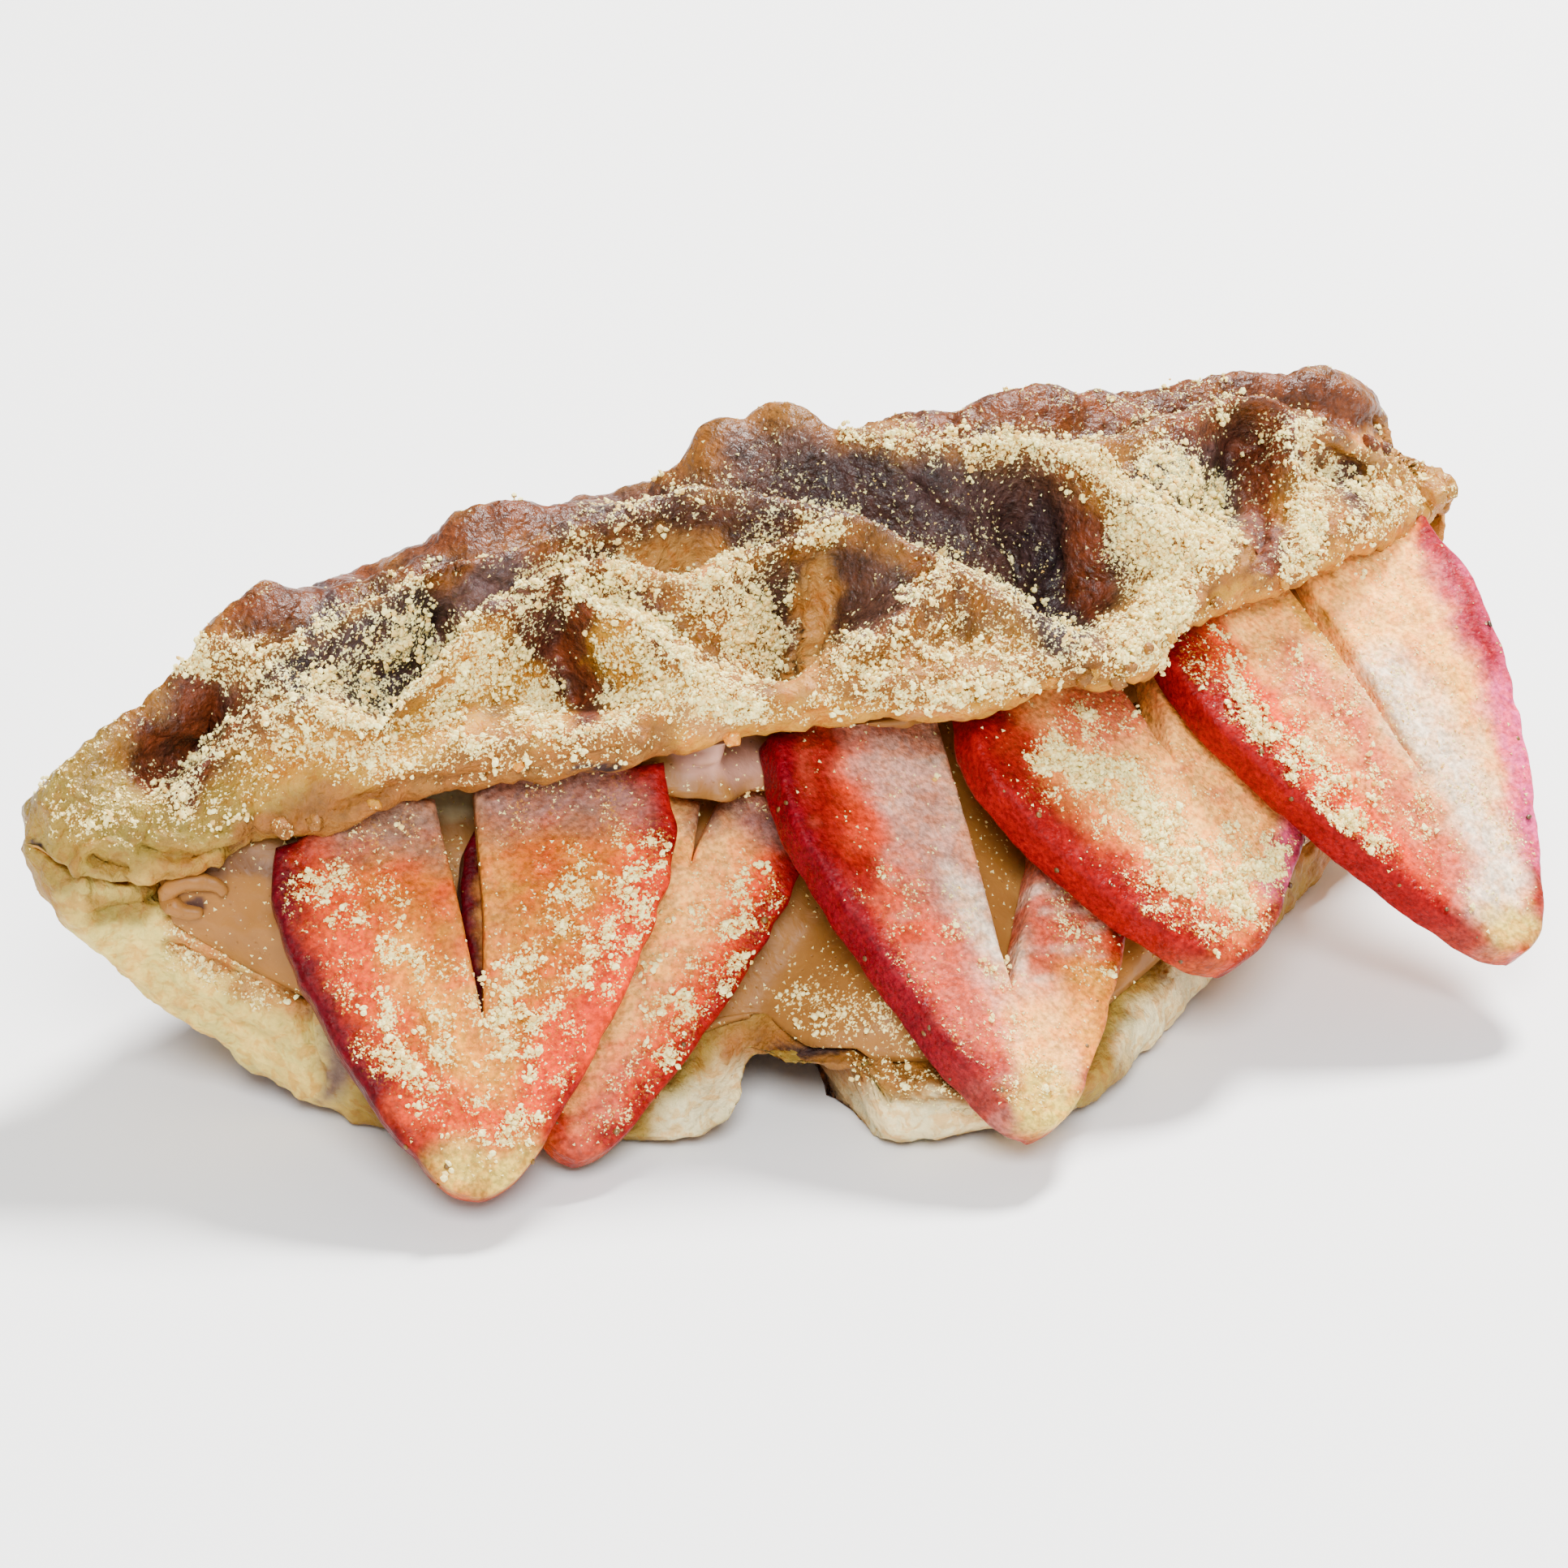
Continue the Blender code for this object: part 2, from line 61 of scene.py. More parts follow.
# ---------------------------------------------------------------- pastry sizes, as in the part's source
HALF_LENGTH = 67.5
LEFT_TIP = (15.0, 25.0)
RIGHT_TIP = (10.0, 30.0)
LIP_FRONT_TOP = ((-67.5, 15.0), (-66.0, 11.0), (-60.0, 8.5), (-52.0, 5.5), (-42.0, 1.0), (-30.0, -3.0),
                 (-14.0, -7.5), (2.0, -11.5), (17.0, -13.5), (30.0, -8.5), (43.0, -3.0), (56.0, 1.5),
                 (65.5, 6.0), (67.5, 10.0))
LIP_FRONT_LOW = ((-67.5, 15.0), (-66.0, 11.0), (-60.0, 8.5), (-53.0, 4.5), (-44.0, -4.5), (-30.0, -14.0),
                 (-14.0, -21.5), (0.0, -28.0), (8.0, -28.5), (17.0, -23.5), (30.0, -14.5), (38.0, -9.5),
                 (44.0, -6.0), (57.0, 1.0), (65.5, 6.0), (67.5, 10.0))
BACK_EDGE = ((-67.5, 15.0), (-66.0, 18.5), (-61.0, 21.5), (-50.0, 26.5), (-34.0, 32.5), (-10.0, 35.0),
             (12.0, 35.0), (36.0, 32.0), (54.0, 25.0), (63.0, 17.5), (66.5, 13.5), (67.5, 10.0))
CROWN_LINE = ((-67.5, 15.0), (-50.0, 15.0), (-25.0, 14.0), (5.0, 13.0), (30.0, 10.0), (50.0, 9.5),
              (67.5, 10.0))
TOP_HEIGHT = ((-67.5, 25.0), (-66.0, 29.0), (-60.0, 33.3), (-52.0, 38.0), (-42.0, 42.4), (-28.0, 45.3),
              (-10.0, 46.5), (12.0, 48.0), (36.0, 47.5), (50.0, 46.0), (57.0, 41.5), (63.0, 35.5),
              (66.5, 32.5), (67.5, 30.0))
BASE_HEIGHT = ((-67.5, 25.0), (-66.3, 20.5), (-61.0, 12.5), (-55.0, 6.0), (-48.0, 0.8), (-40.0, -0.6),
               (40.0, -0.6), (50.0, 1.5), (58.0, 8.0), (64.0, 19.0), (66.5, 26.0), (67.5, 30.0))
MOUTH_TOP = ((-67.5, 25.0), (-60.0, 23.5), (-52.0, 25.5), (-40.0, 28.5), (-20.0, 30.5), (10.0, 31.5),
             (28.0, 32.5), (44.0, 33.0), (56.0, 32.0), (67.5, 30.0))
MOUTH_BOTTOM = ((-67.5, 25.0), (-60.0, 21.5), (-52.0, 15.5), (-40.0, 10.5), (-20.0, 8.5), (10.0, 8.0),
                (35.0, 7.5), (45.0, 7.0), (52.0, 12.0), (60.0, 24.0), (67.5, 30.0))
MOUTH_INNER = ((-67.5, 15.0), (-60.0, 11.5), (-52.0, 12.0), (-40.0, 17.0), (-20.0, 20.0), (30.0, 20.0),
               (50.0, 15.0), (58.0, 10.0), (67.5, 10.0))
NOTCH = (-21.5, -14.5, -8.8, -7.6)
NOTCH_BACK = 5.0
NOTCH_RISE = 5.5
# The lower jaw is pushed back behind the slices: how often, how wide round them, and the gap left.
JAW_PUSHES = 3
JAW_MARGIN = 1.0
JAW_FADE = 3.0
JAW_GAP = 0.5

# Samples in each of the 18 stretches round a section, finest on the top that shows.
SKIN_STEPS = (4, 4, 8, 22, 40, 36, 20, 12, 12, 12, 8, 12, 10, 10, 12, 12, 8, 4)
SKIN_SECTIONS = 390
# Control points of a section, counted from the mouth's inner corner round over the top: the roof's
# front edge, the upper lip, the crown, the front of the base, the front of the lower jaw, the sill, the
# mouth's floor and the floor's inner end.
EDGE_POINT = 2
LIP_POINT = 3
CROWN_POINT = 6
BASE_POINT = 11
JAW_POINT = 14
SILL_POINT = 15
FLOOR_POINT = 16
CORNER_POINT = 17

# Waffle relief.  Crests stay up, the pressed wells sink toward their creases.
# Points are (x, arc length from the crown, front negative).  The places sway a little, so that no
# line is straight, and the back's lattice sways more than the top.
RIDGE_ROUND = 0.7
CREASE_ROUND = 0.5
WELL_GAIN = 1.8
TOP_SWAY = 0.6
REAR_SWAY = 1.2
SWAY_SIZE = 5.0
# Where the wells fade out: behind the lip, before the base's end, and toward the two tips.
LIP_FADE = (1.5, 6.0)
BASE_FADE = (16.0, 4.0)
TIP_FADE = (57.0, 66.0)
RIDGES = (
    ((-64.0, 0.0), (-58.0, 1.0), (-52.0, 0.5), (-50.1, -0.2), (-47.5, -5.5), (-46.0, -10.0), (-43.6, -13.2),
     (-41.0, -15.7)),
    ((-66.0, -3.0), (-61.0, -8.0), (-57.8, -9.2), (-53.6, -8.5), (-50.1, -8.3), (-46.4, -9.4)),
    ((-47.5, -5.0), (-43.6, -5.1), (-37.2, -5.2), (-32.9, -4.4), (-28.4, -5.1)),
    ((-41.0, -15.7), (-35.4, -12.9), (-29.7, -9.9), (-25.2, -8.5), (-20.5, -9.0), (-16.4, -10.7),
     (-13.6, -13.2), (-8.8, -12.5), (-5.3, -11.6), (1.1, -11.7)),
    ((-22.5, -8.4), (-21.8, -11.7), (-19.8, -14.4), (-17.8, -17.5), (-16.4, -21.5), (-13.6, -24.6),
     (-10.2, -28.4)),
    ((-7.4, -26.4), (-3.9, -24.1), (-0.4, -23.3), (5.3, -21.6), (8.1, -19.1)),
    ((-31.0, -5.3), (-23.2, -4.6), (-13.6, -3.7), (-8.1, -3.4), (-5.3, -5.6), (-1.1, -9.0), (1.8, -11.7),
     (5.3, -16.4), (8.1, -19.1), (10.2, -22.4), (13.0, -25.7), (21.0, -31.0)),
    ((2.0, 5.0), (5.0, 0.5), (7.4, -1.1), (10.9, -4.4), (17.1, -6.5), (21.2, -7.2), (23.2, -9.3),
     (25.2, -11.5), (26.5, -14.4), (29.7, -17.7), (32.4, -21.6)),
    ((23.2, -9.3), (29.1, -7.6), (32.9, -6.2), (37.8, -5.5), (42.5, -4.3), (45.9, -5.4), (47.0, -6.5)),
    ((47.0, -6.5), (45.9, -10.3), (44.8, -17.0), (42.8, -22.3)),
    ((47.0, -6.5), (50.5, -8.2), (53.6, -7.6), (60.3, -5.4), (66.0, -6.0)),
    ((-58.0, 1.0), (-38.0, 4.0), (-24.0, 4.5), (-8.0, 3.5), (2.0, 4.5), (16.0, 0.5), (42.0, 1.0),
     (60.0, 0.0)),
)
# Creases at the wells' deepest lines: depth, then points as for the ridges.
CREASES = (
    (5.0, ((-54.6, -1.6), (-55.5, -5.2), (-56.6, -8.2))),
    (5.5, ((-33.0, -5.8), (-34.3, -8.3), (-37.3, -11.3), (-40.6, -14.6))),
    (5.5, ((-22.9, -9.4), (-23.8, -13.0), (-24.6, -18.0), (-25.0, -22.5))),
    (6.5, ((-4.6, -12.6), (-3.8, -15.0), (-5.0, -19.0), (-7.3, -23.5), (-8.8, -26.4))),
    (4.5, ((-16.5, -7.3), (-13.0, -8.6), (-9.6, -7.6))),
    (7.5, ((19.2, -9.3), (19.8, -13.0), (19.5, -17.5), (20.0, -22.0), (21.0, -26.0))),
    (5.5, ((-3.0, -3.6), (3.0, -8.2), (9.0, -12.8), (15.0, -15.8), (19.5, -17.5))),
    (5.0, ((43.6, -6.2), (43.0, -12.0), (42.2, -17.0), (41.0, -20.5))),
    (2.6, ((52.0, -10.5), (54.0, -12.0), (55.5, -14.0))),
    (3.0, ((-48.0, -1.8), (-42.0, -1.2), (-36.0, -0.4))),
    (2.5, ((-31.0, -1.5), (-24.0, -0.5), (-16.0, 0.0))),
    (1.8, ((14.0, -2.5), (24.0, -4.0), (30.0, -4.0))),
    (1.6, ((36.0, -2.5), (43.0, -1.6), (50.0, -3.4))),
)
# Knobs standing on the crests, and dips where the height is negative: x, arc length, radius, height.
KNOBS = ((0.5, 3.0, 7.4, 3.2), (56.0, 1.0, 6.0, 2.2), (24.0, 1.0, 6.0, 1.2), (-24.0, 3.0, 6.0, 1.6),
         (-46.5, 2.0, 6.0, 2.0), (-8.0, 2.0, 3.5, -1.4), (37.0, 1.0, 6.0, -1.0))
# The upper lip's ragged edge, along x: how far it hangs forward and down of the plain one.
LIP_REACH = ((-67.5, 0.0), (-62.0, 1.5), (-56.0, 2.0), (-50.0, 1.0), (-44.0, 1.8), (-40.0, 0.8),
             (-35.0, 0.6), (-30.0, 1.8), (-22.0, 1.8), (-19.5, 0.3), (-6.0, -0.3), (0.0, 0.3), (5.0, 1.5),
             (10.0, 0.8), (15.0, 0.4), (20.0, 1.5), (23.0, 1.6), (27.0, 1.2), (31.0, 1.0), (36.0, 1.8),
             (43.0, 3.5), (50.0, 2.8), (57.0, 1.6), (61.0, 0.0), (67.5, 0.0))
LIP_DROP = ((-67.5, 0.0), (-62.0, 1.2), (-56.0, 1.1), (-50.0, 0.0), (-44.0, 1.0), (-38.0, 0.0), (0.0, 0.0),
            (5.0, 0.6), (12.0, 0.0), (20.0, 0.9), (24.0, 1.0), (28.0, 0.0), (67.5, 0.0))
LATTICE_PITCH = 16.0
LATTICE_START = 3.0
BASE_WELL_DEPTH = 4.0
BASE_WELL_ROUND = 1.4
BASE_WELL_GAIN = 0.8
# Small relief of the crust: how high blisters, crumbs and heaps of powder stand.
BLISTER_HEIGHT = 0.48
CRUMB_HEIGHT = 0.24
LIP_CRUMB_HEIGHT = 0.34
POWDER_HEIGHT = 0.46

# ---------------------------------------------------------------- fruit slices, as in the part's source
SLICE_THICKNESS = 3.6
# Tip, left and right shoulder; where the notch starts, along the slice, and how far it leans;
# how far each half opens there; and how much the left half bulges.
Slice = namedtuple("Slice", "tip left right split lean open_left open_right bulge")
SLICES = {
    "strawberry_1": Slice((-42.8, -21.5, 4.2), (-51.4, 1.0, 25.3), (-17.2, -6.8, 29.3),
                          0.47, 0.0, 0.17, 0.02, 0.0),
    "strawberry_2": Slice((-33.2, -18.8, 3.4), (-32.1, 2.5, 25.3), (-4.2, -6.0, 22.6),
                          0.84, 0.36, 0.05, 0.05, 0.14),
    "strawberry_3": Slice((1.4, -35.0, 5.8), (-9.4, -5.2, 30.3), (26.8, -5.0, 22.5),
                          0.35, 0.0, 0.05, 0.60, 0.0),
    "strawberry_4": Slice((24.3, -27.5, 11.6), (6.6, -11.5, 30.9), (47.5, -2.0, 25.1),
                          0.72, 0.0, 0.18, 0.08, 0.05),
    "strawberry_5": Slice((50.5, -32.0, 8.2), (26.6, -8.8, 32.0), (62.1, -1.0, 32.0),
                          0.50, 0.0, 0.07, 0.07, 0.0),
}
SLICE_ROWS = 100
SLICE_COLUMNS = 30
# The right half of a slice comes first, then the left one.
SIDES = (1, -1)
# How far the rim and the cut edges are rounded.
SKIN_ROUND = 0.6
FLESH_ROUND = 0.6
# How sharply the room kept clear behind a slice ends past its shoulders.
TOP_SHARPNESS = 1.6

# How far each slice's top runs on under the lip, and how far it bends back there.
SLICE_TUCK = {"strawberry_1": (2.0, 2.0), "strawberry_2": (0.5, 1.0), "strawberry_3": (1.8, 0.5),
              "strawberry_4": (2.2, 1.5), "strawberry_5": (2.8, 3.2)}

CREAM_RANGE = (-58.0, 58.5)
CREAM_GAP = 0.35
CREAM_SECTIONS = 320
CREAM_FRONT_STEPS = 44
# The cream's face is evened out and pushed back behind the slices in turns.
CREAM_TURNS = 4
CREAM_SMOOTHING = 12
CREAM_MARGIN = 0.8
CREAM_FADE = 2.5
FACE_GAP = 0.3
# The mouth's walls are sampled on this many sections of the plain pastry, finest along its floor.
MOUTH_SECTIONS = 400
MOUTH_STEPS = (8, 8, 4, 4, 4, 4, 4, 4, 4, 4, 4, 4, 4, 4, 4, 8, 8, 8)
CREAM_BULGE = ((-58.0, 0.2), (-50.0, 2.2), (-40.0, 2.0), (0.0, 1.0), (30.0, 1.5), (38.0, 5.0), (44.0, 8.5),
               (50.0, 7.0), (58.5, 0.3))


# ---------------------------------------------------------------- plain mathematics
def curve(stations, x):
    """Smooth value at x through the stations, without overshoot at the ends."""
    sx = np.array([p[0] for p in stations])
    sy = np.array([p[1] for p in stations])
    slope = np.diff(sy) / np.diff(sx)
    tangent = np.zeros(len(sx))
    for i in range(1, len(sx) - 1):
        if slope[i - 1] * slope[i] > 0.0:
            tangent[i] = 2.0 * slope[i - 1] * slope[i] / (slope[i - 1] + slope[i])
    tangent[0] = slope[0]
    tangent[-1] = slope[-1]
    x = np.clip(np.asarray(x, float), sx[0], sx[-1])
    k = np.clip(np.searchsorted(sx, x, side="right") - 1, 0, len(sx) - 2)
    h = sx[k + 1] - sx[k]
    t = (x - sx[k]) / h
    t2 = t * t
    t3 = t2 * t
    first = (2 * t3 - 3 * t2 + 1) * sy[k] + (t3 - 2 * t2 + t) * h * tangent[k]
    second = (3 * t2 - 2 * t3) * sy[k + 1] + (t3 - t2) * h * tangent[k + 1]
    return first + second


def ramp(value, low, high):
    """Smooth 0 to 1 between low and high."""
    t = np.clip((np.asarray(value, float) - low) / (high - low), 0.0, 1.0)
    return t * t * (3.0 - 2.0 * t)


def between(start, end, share):
    """The place a share of the way from start to end."""
    return start + share * (end - start)


def unit(vectors):
    """Vectors made one long."""
    return vectors / np.maximum(np.linalg.norm(vectors, axis=-1, keepdims=True), 1e-12)


def smooth(points, times):
    """Evens out rows of points where they are, the first and the last row kept."""
    for _ in range(times):
        points[1:-1] = 0.5 * points[1:-1] + 0.25 * (points[:-2] + points[2:])


def corner_value(cell, seed):
    """Fixed pseudo-random value from -1 to 1 for each lattice corner."""
    h = cell[..., 0] * 73856093 ^ cell[..., 1] * 19349663 ^ cell[..., 2] * 83492791 ^ (seed * 2654435)
    h = (h ^ (h >> 13)) * 1274126177 & 0xFFFFFFFF
    h = (h ^ (h >> 15)) * 668265263 & 0xFFFFFFFF
    h = h ^ (h >> 16)
    return (h & 0xFFFF) / 32767.5 - 1.0


def noise(points, size, seed):
    """Smooth noise from -1 to 1 at points, with features about size across."""
    p = np.asarray(points, float) / size + 500.0
    cell = np.floor(p).astype(np.int64)
    f = p - cell
    f = f * f * (3.0 - 2.0 * f)
    total = np.zeros(p.shape[:-1])
    for corner in itertools.product((0, 1), repeat=3):
        weight = np.ones(p.shape[:-1])
        for axis, side in enumerate(corner):
            weight = weight * (f[..., axis] if side else 1.0 - f[..., axis])
        total += weight * corner_value(cell + np.array(corner), seed)
    return total


def rough_noise(points, size, seed, octaves=3):
    """Noise summed over finer and finer features."""
    total = 0.0
    gain = 1.0
    for i in range(octaves):
        total = total + gain * noise(points, size / 2.0 ** i, seed + 31 * i)
        gain *= 0.5
    return total


def line_distance(px, py, line):
    """Distance from points to a polyline."""
    best = np.full(px.shape, 1e9)
    for (ax, ay), (bx, by) in zip(line[:-1], line[1:]):
        dx = bx - ax
        dy = by - ay
        t = np.clip(((px - ax) * dx + (py - ay) * dy) / max(dx * dx + dy * dy, 1e-12), 0.0, 1.0)
        best = np.minimum(best, np.hypot(px - ax - t * dx, py - ay - t * dy))
    return best


# ---------------------------------------------------------------- where a point falls in the photograph
BACKWARD = np.array((-math.sin(CAMERA_TURN) * math.cos(CAMERA_RISE),
                     -math.cos(CAMERA_TURN) * math.cos(CAMERA_RISE), math.sin(CAMERA_RISE)))
RIGHTWARD = np.array((math.cos(CAMERA_TURN), -math.sin(CAMERA_TURN), 0.0))
UPWARD = np.cross(BACKWARD, RIGHTWARD)
EYE = np.array(AIM) + CAMERA_DISTANCE * BACKWARD


def photo_place(points):
    """Pixel column and row of points in the photograph."""
    rel = np.asarray(points) - EYE
    depth = -(rel @ BACKWARD)
    scale = CAMERA_DISTANCE / PIXEL_MM / depth
    middle = 0.5 * PHOTO_SIZE
    return middle + scale * (rel @ RIGHTWARD), middle - scale * (rel @ UPWARD)


# ---------------------------------------------------------------- pastry surface
def notch_window(x):
    """1 over the notch in the lower jaw's front, falling to 0 at its sides."""
    return ramp(x, NOTCH[0], NOTCH[1]) * (1.0 - ramp(x, NOTCH[2], NOTCH[3]))


def section_frame(x):
    """Control points (y, z) round the pastry's section at each x, from the mouth's inner corner."""
    lines = (LIP_FRONT_TOP, LIP_FRONT_LOW, BACK_EDGE, CROWN_LINE, TOP_HEIGHT, BASE_HEIGHT, MOUTH_TOP,
             MOUTH_BOTTOM, MOUTH_INNER)
    lip_top, lip_low, back, crown, top, base, mouth_top, mouth_low, inner = [curve(p, x) for p in lines]
    low_jaw = mouth_low - base
    notch = notch_window(x)
    rows = (
        (inner, 0.5 * (mouth_top + mouth_low)),
        (0.45 * inner + 0.55 * lip_top, between(mouth_top, top, 0.03)),
        (between(lip_top, crown, 0.12), between(mouth_top, top, 0.02)),
        (lip_top, between(mouth_top, top, 0.20)),
        (between(lip_top, crown, 0.13), between(mouth_top, top, 0.50)),
        (between(lip_top, crown, 0.50), between(mouth_top, top, 0.86)),
        (crown, top),
        (between(crown, back, 0.55), between(top, base, 0.16)),
        (between(back, crown, 0.05), between(top, base, 0.42)),
        (between(back, crown, 0.12), between(base, top, 0.26)),
        (between(back, crown, 0.45), between(base, top, 0.012)),
        (0.55 * back + 0.45 * lip_low - 6.0 * (top - base) / 46.0, base),
        (between(lip_low, crown, 0.22) + 9.0 * notch, base + 0.02 * low_jaw + 1.5 * notch),
        (between(lip_low, crown, 0.04) + NOTCH_BACK * notch, base + 0.18 * low_jaw + NOTCH_RISE * notch),
        (lip_low + 0.6 * NOTCH_BACK * notch, base + 0.52 * low_jaw + 0.55 * NOTCH_RISE * notch),
        (between(lip_low, crown, 0.08) + 0.8 * notch, base + 0.88 * low_jaw + 0.8 * notch),
        (between(lip_low, inner, 0.40), mouth_low + 0.04 * low_jaw),
        (between(inner, lip_low, 0.18), mouth_low + 0.15 * low_jaw),
    )
    return np.array(rows).transpose(2, 0, 1)


def smooth_ring(points, steps):
    """Closed ring through the control points; steps[i] samples in stretch i."""
    out = []
    for i, count in enumerate(steps):
        p0, p1, p2, p3 = [points[:, (i + k) % len(steps)] for k in (-1, 0, 1, 2)]
        for j in range(count):
            t = j / count
            a = -0.5 * t + t * t - 0.5 * t ** 3
            b = 1.0 - 2.5 * t * t + 1.5 * t ** 3
            c = 0.5 * t + 2.0 * t * t - 1.5 * t ** 3
            d = -0.5 * t * t + 0.5 * t ** 3
            out.append(a * p0 + b * p1 + c * p2 + d * p3)
    return np.stack(out, axis=1)


def pastry_base(count, steps):
    """Grid of the plain pastry surface: positions (count, ring, 3)."""
    s = 2.0 * np.linspace(0.0, 1.0, count + 2)[1:-1] - 1.0
    x = HALF_LENGTH * (0.55 * s + 0.45 * np.sin(0.5 * math.pi * s))
    ring = smooth_ring(section_frame(x), steps)
    grid = np.empty(ring.shape[:2] + (3,))
    grid[:, :, 0] = x[:, None]
    grid[:, :, 1:] = ring
    low = slice(sum(steps[:BASE_POINT]), sum(steps[:CORNER_POINT]))
    for _ in range(JAW_PUSHES):
        for record in SLICES.values():
            grid[:, low] = push_behind(grid[:, low], record, JAW_MARGIN, JAW_FADE, JAW_GAP)
    return grid


def ring_length(grid, steps):
    """Arc length round each section, zero on the crown, negative toward the front."""
    jump = np.linalg.norm(np.diff(grid[:, :, 1:], axis=1), axis=2)
    run = np.concatenate([np.zeros((grid.shape[0], 1)), np.cumsum(jump, axis=1)], axis=1)
    crown = sum(steps[:CROWN_POINT])
    return run - run[:, crown:crown + 1]


def grid_normals(grid):
    """Outward unit normals of a tube grid."""
    along = np.gradient(grid, axis=0)
    around = np.roll(grid, -1, axis=1) - np.roll(grid, 1, axis=1)
    return unit(np.cross(along, around))


def hang_lip(grid):
    """Lets the upper lip hang over the slices, with a ragged lower edge."""
    edge = sum(SKIN_STEPS[:EDGE_POINT])
    index = np.arange(grid.shape[1])
    share = ramp(index, SKIN_STEPS[0], edge) * (1.0 - ramp(index, edge + 4.0, edge + 34.0))
    under = 1.0 - ramp(index, edge, edge + 12.0)
    x = grid[:, :1, 0]
    along = np.stack([x, 0.0 * x, 0.0 * x], axis=-1)
    ragged = 0.5 * noise(along, 2.6, 31) + 0.25 * noise(along, 0.9, 32)
    grid[:, :, 1] -= share * curve(LIP_REACH, x)
    grid[:, :, 2] -= share * (curve(LIP_DROP, x) + ragged * under)
    return grid


# Small dents, and folds where the depth is negative, on the photograph's side: depth in millimetres,
# radius in pixels, line of pixels.
DENTS = (
    (1.3, 14, ((118, 1060), (132, 1072), (150, 1078))),
    (-0.7, 12, ((104, 1092), (94, 1068), (106, 1046), (134, 1040), (160, 1050))),
    (0.8, 13, ((120, 1128), (160, 1120), (200, 1104), (214, 1088))),
    (0.9, 10, ((176, 1046), (220, 1058), (280, 1054), (310, 1040))),
    (-0.7, 16, ((190, 1032), (240, 1040), (290, 1032))),
    (1.0, 12, ((214, 1166), (262, 1190), (330, 1216), (366, 1228))),
    (-0.8, 22, ((220, 1200), (280, 1230), (340, 1262))),
    (1.1, 12, ((372, 1228), (380, 1290), (392, 1340))),
    (-0.8, 13, ((318, 1012), (356, 1020), (398, 1008))),
    (0.8, 9, ((306, 984), (310, 1010), (316, 1030))),
    (0.8, 10, ((410, 1000), (440, 984), (520, 966), (600, 958))),
    (0.6, 9, ((640, 950), (700, 940), (760, 926))),
    (0.9, 12, ((560, 700), (600, 722), (650, 735))),
    (0.8, 9, ((980, 700), (985, 770), (975, 830))),
    (0.8, 9, ((1002, 700), (1010, 770), (1000, 835))),
    (0.7, 8, ((1024, 720), (1030, 780), (1016, 830))),
    (-0.6, 9, ((992, 710), (996, 770), (990, 825))),
    (1.2, 14, ((1280, 610), (1296, 680), (1306, 740))),
    (0.9, 12, ((1200, 640), (1230, 690), (1260, 740))),
    (0.8, 12, ((1120, 600), (1150, 630), (1180, 640))),
    (1.0, 12, ((1545, 540), (1552, 610), (1556, 680))),
    (1.0, 14, ((1640, 560), (1668, 580), (1690, 600))),
    (0.9, 12, ((1700, 520), (1730, 560), (1750, 580))),
    (0.9, 12, ((1060, 1300), (1066, 1340), (1062, 1380))),
    (-0.7, 14, ((1080, 1300), (1100, 1330), (1180, 1350))),
    (0.8, 10, ((1080, 1345), (1150, 1362), (1230, 1380))),
)


def press_dents(grid):
    """Presses the small dents and folds into the skin where the photograph shows them."""
    normal = grid_normals(grid)
    seen = ramp(normal @ BACKWARD, 0.0, 0.3)
    column, row = wavy_place(grid, *DENT_SWAY, octaves=1)
    sink = np.zeros(seen.shape)
    for depth, radius, line in DENTS:
        sink += depth * (1.0 - ramp(line_distance(column, row, line), 0.0, radius))
    return grid - normal * (sink * seen)[..., None]


def top_wells(x, q):
    """Depth of the pressed wells on the top that the photograph shows."""
    crest = np.full(x.shape, 1e9)
    for line in RIDGES:
        crest = np.minimum(crest, line_distance(x, q, line))
    soft_crest = np.sqrt(crest ** 2 + RIDGE_ROUND ** 2) - RIDGE_ROUND
    nearest = np.full(x.shape, 1e9)
    weight_sum = np.zeros(x.shape)
    depth_sum = np.zeros(x.shape)
    for depth, line in CREASES:
        away = np.sqrt(line_distance(x, q, line) ** 2 + CREASE_ROUND ** 2)
        nearest = np.minimum(nearest, away)
        weight = 1.0 / away ** 4
        weight_sum += weight
        depth_sum += weight * depth
    return WELL_GAIN * depth_sum / weight_sum * soft_crest / (soft_crest + nearest)


def rear_wells(x, q):
    """Depth of the iron's plain square lattice, on the back and the base."""
    a = (x + q) / math.sqrt(2.0) / LATTICE_PITCH
    b = (x - q) / math.sqrt(2.0) / LATTICE_PITCH
    near = LATTICE_PITCH * np.minimum(np.abs(a - np.round(a)), np.abs(b - np.round(b)))
    depth = np.sqrt(near * near + BASE_WELL_ROUND ** 2) - BASE_WELL_ROUND
    return np.minimum(BASE_WELL_GAIN * depth, BASE_WELL_DEPTH)


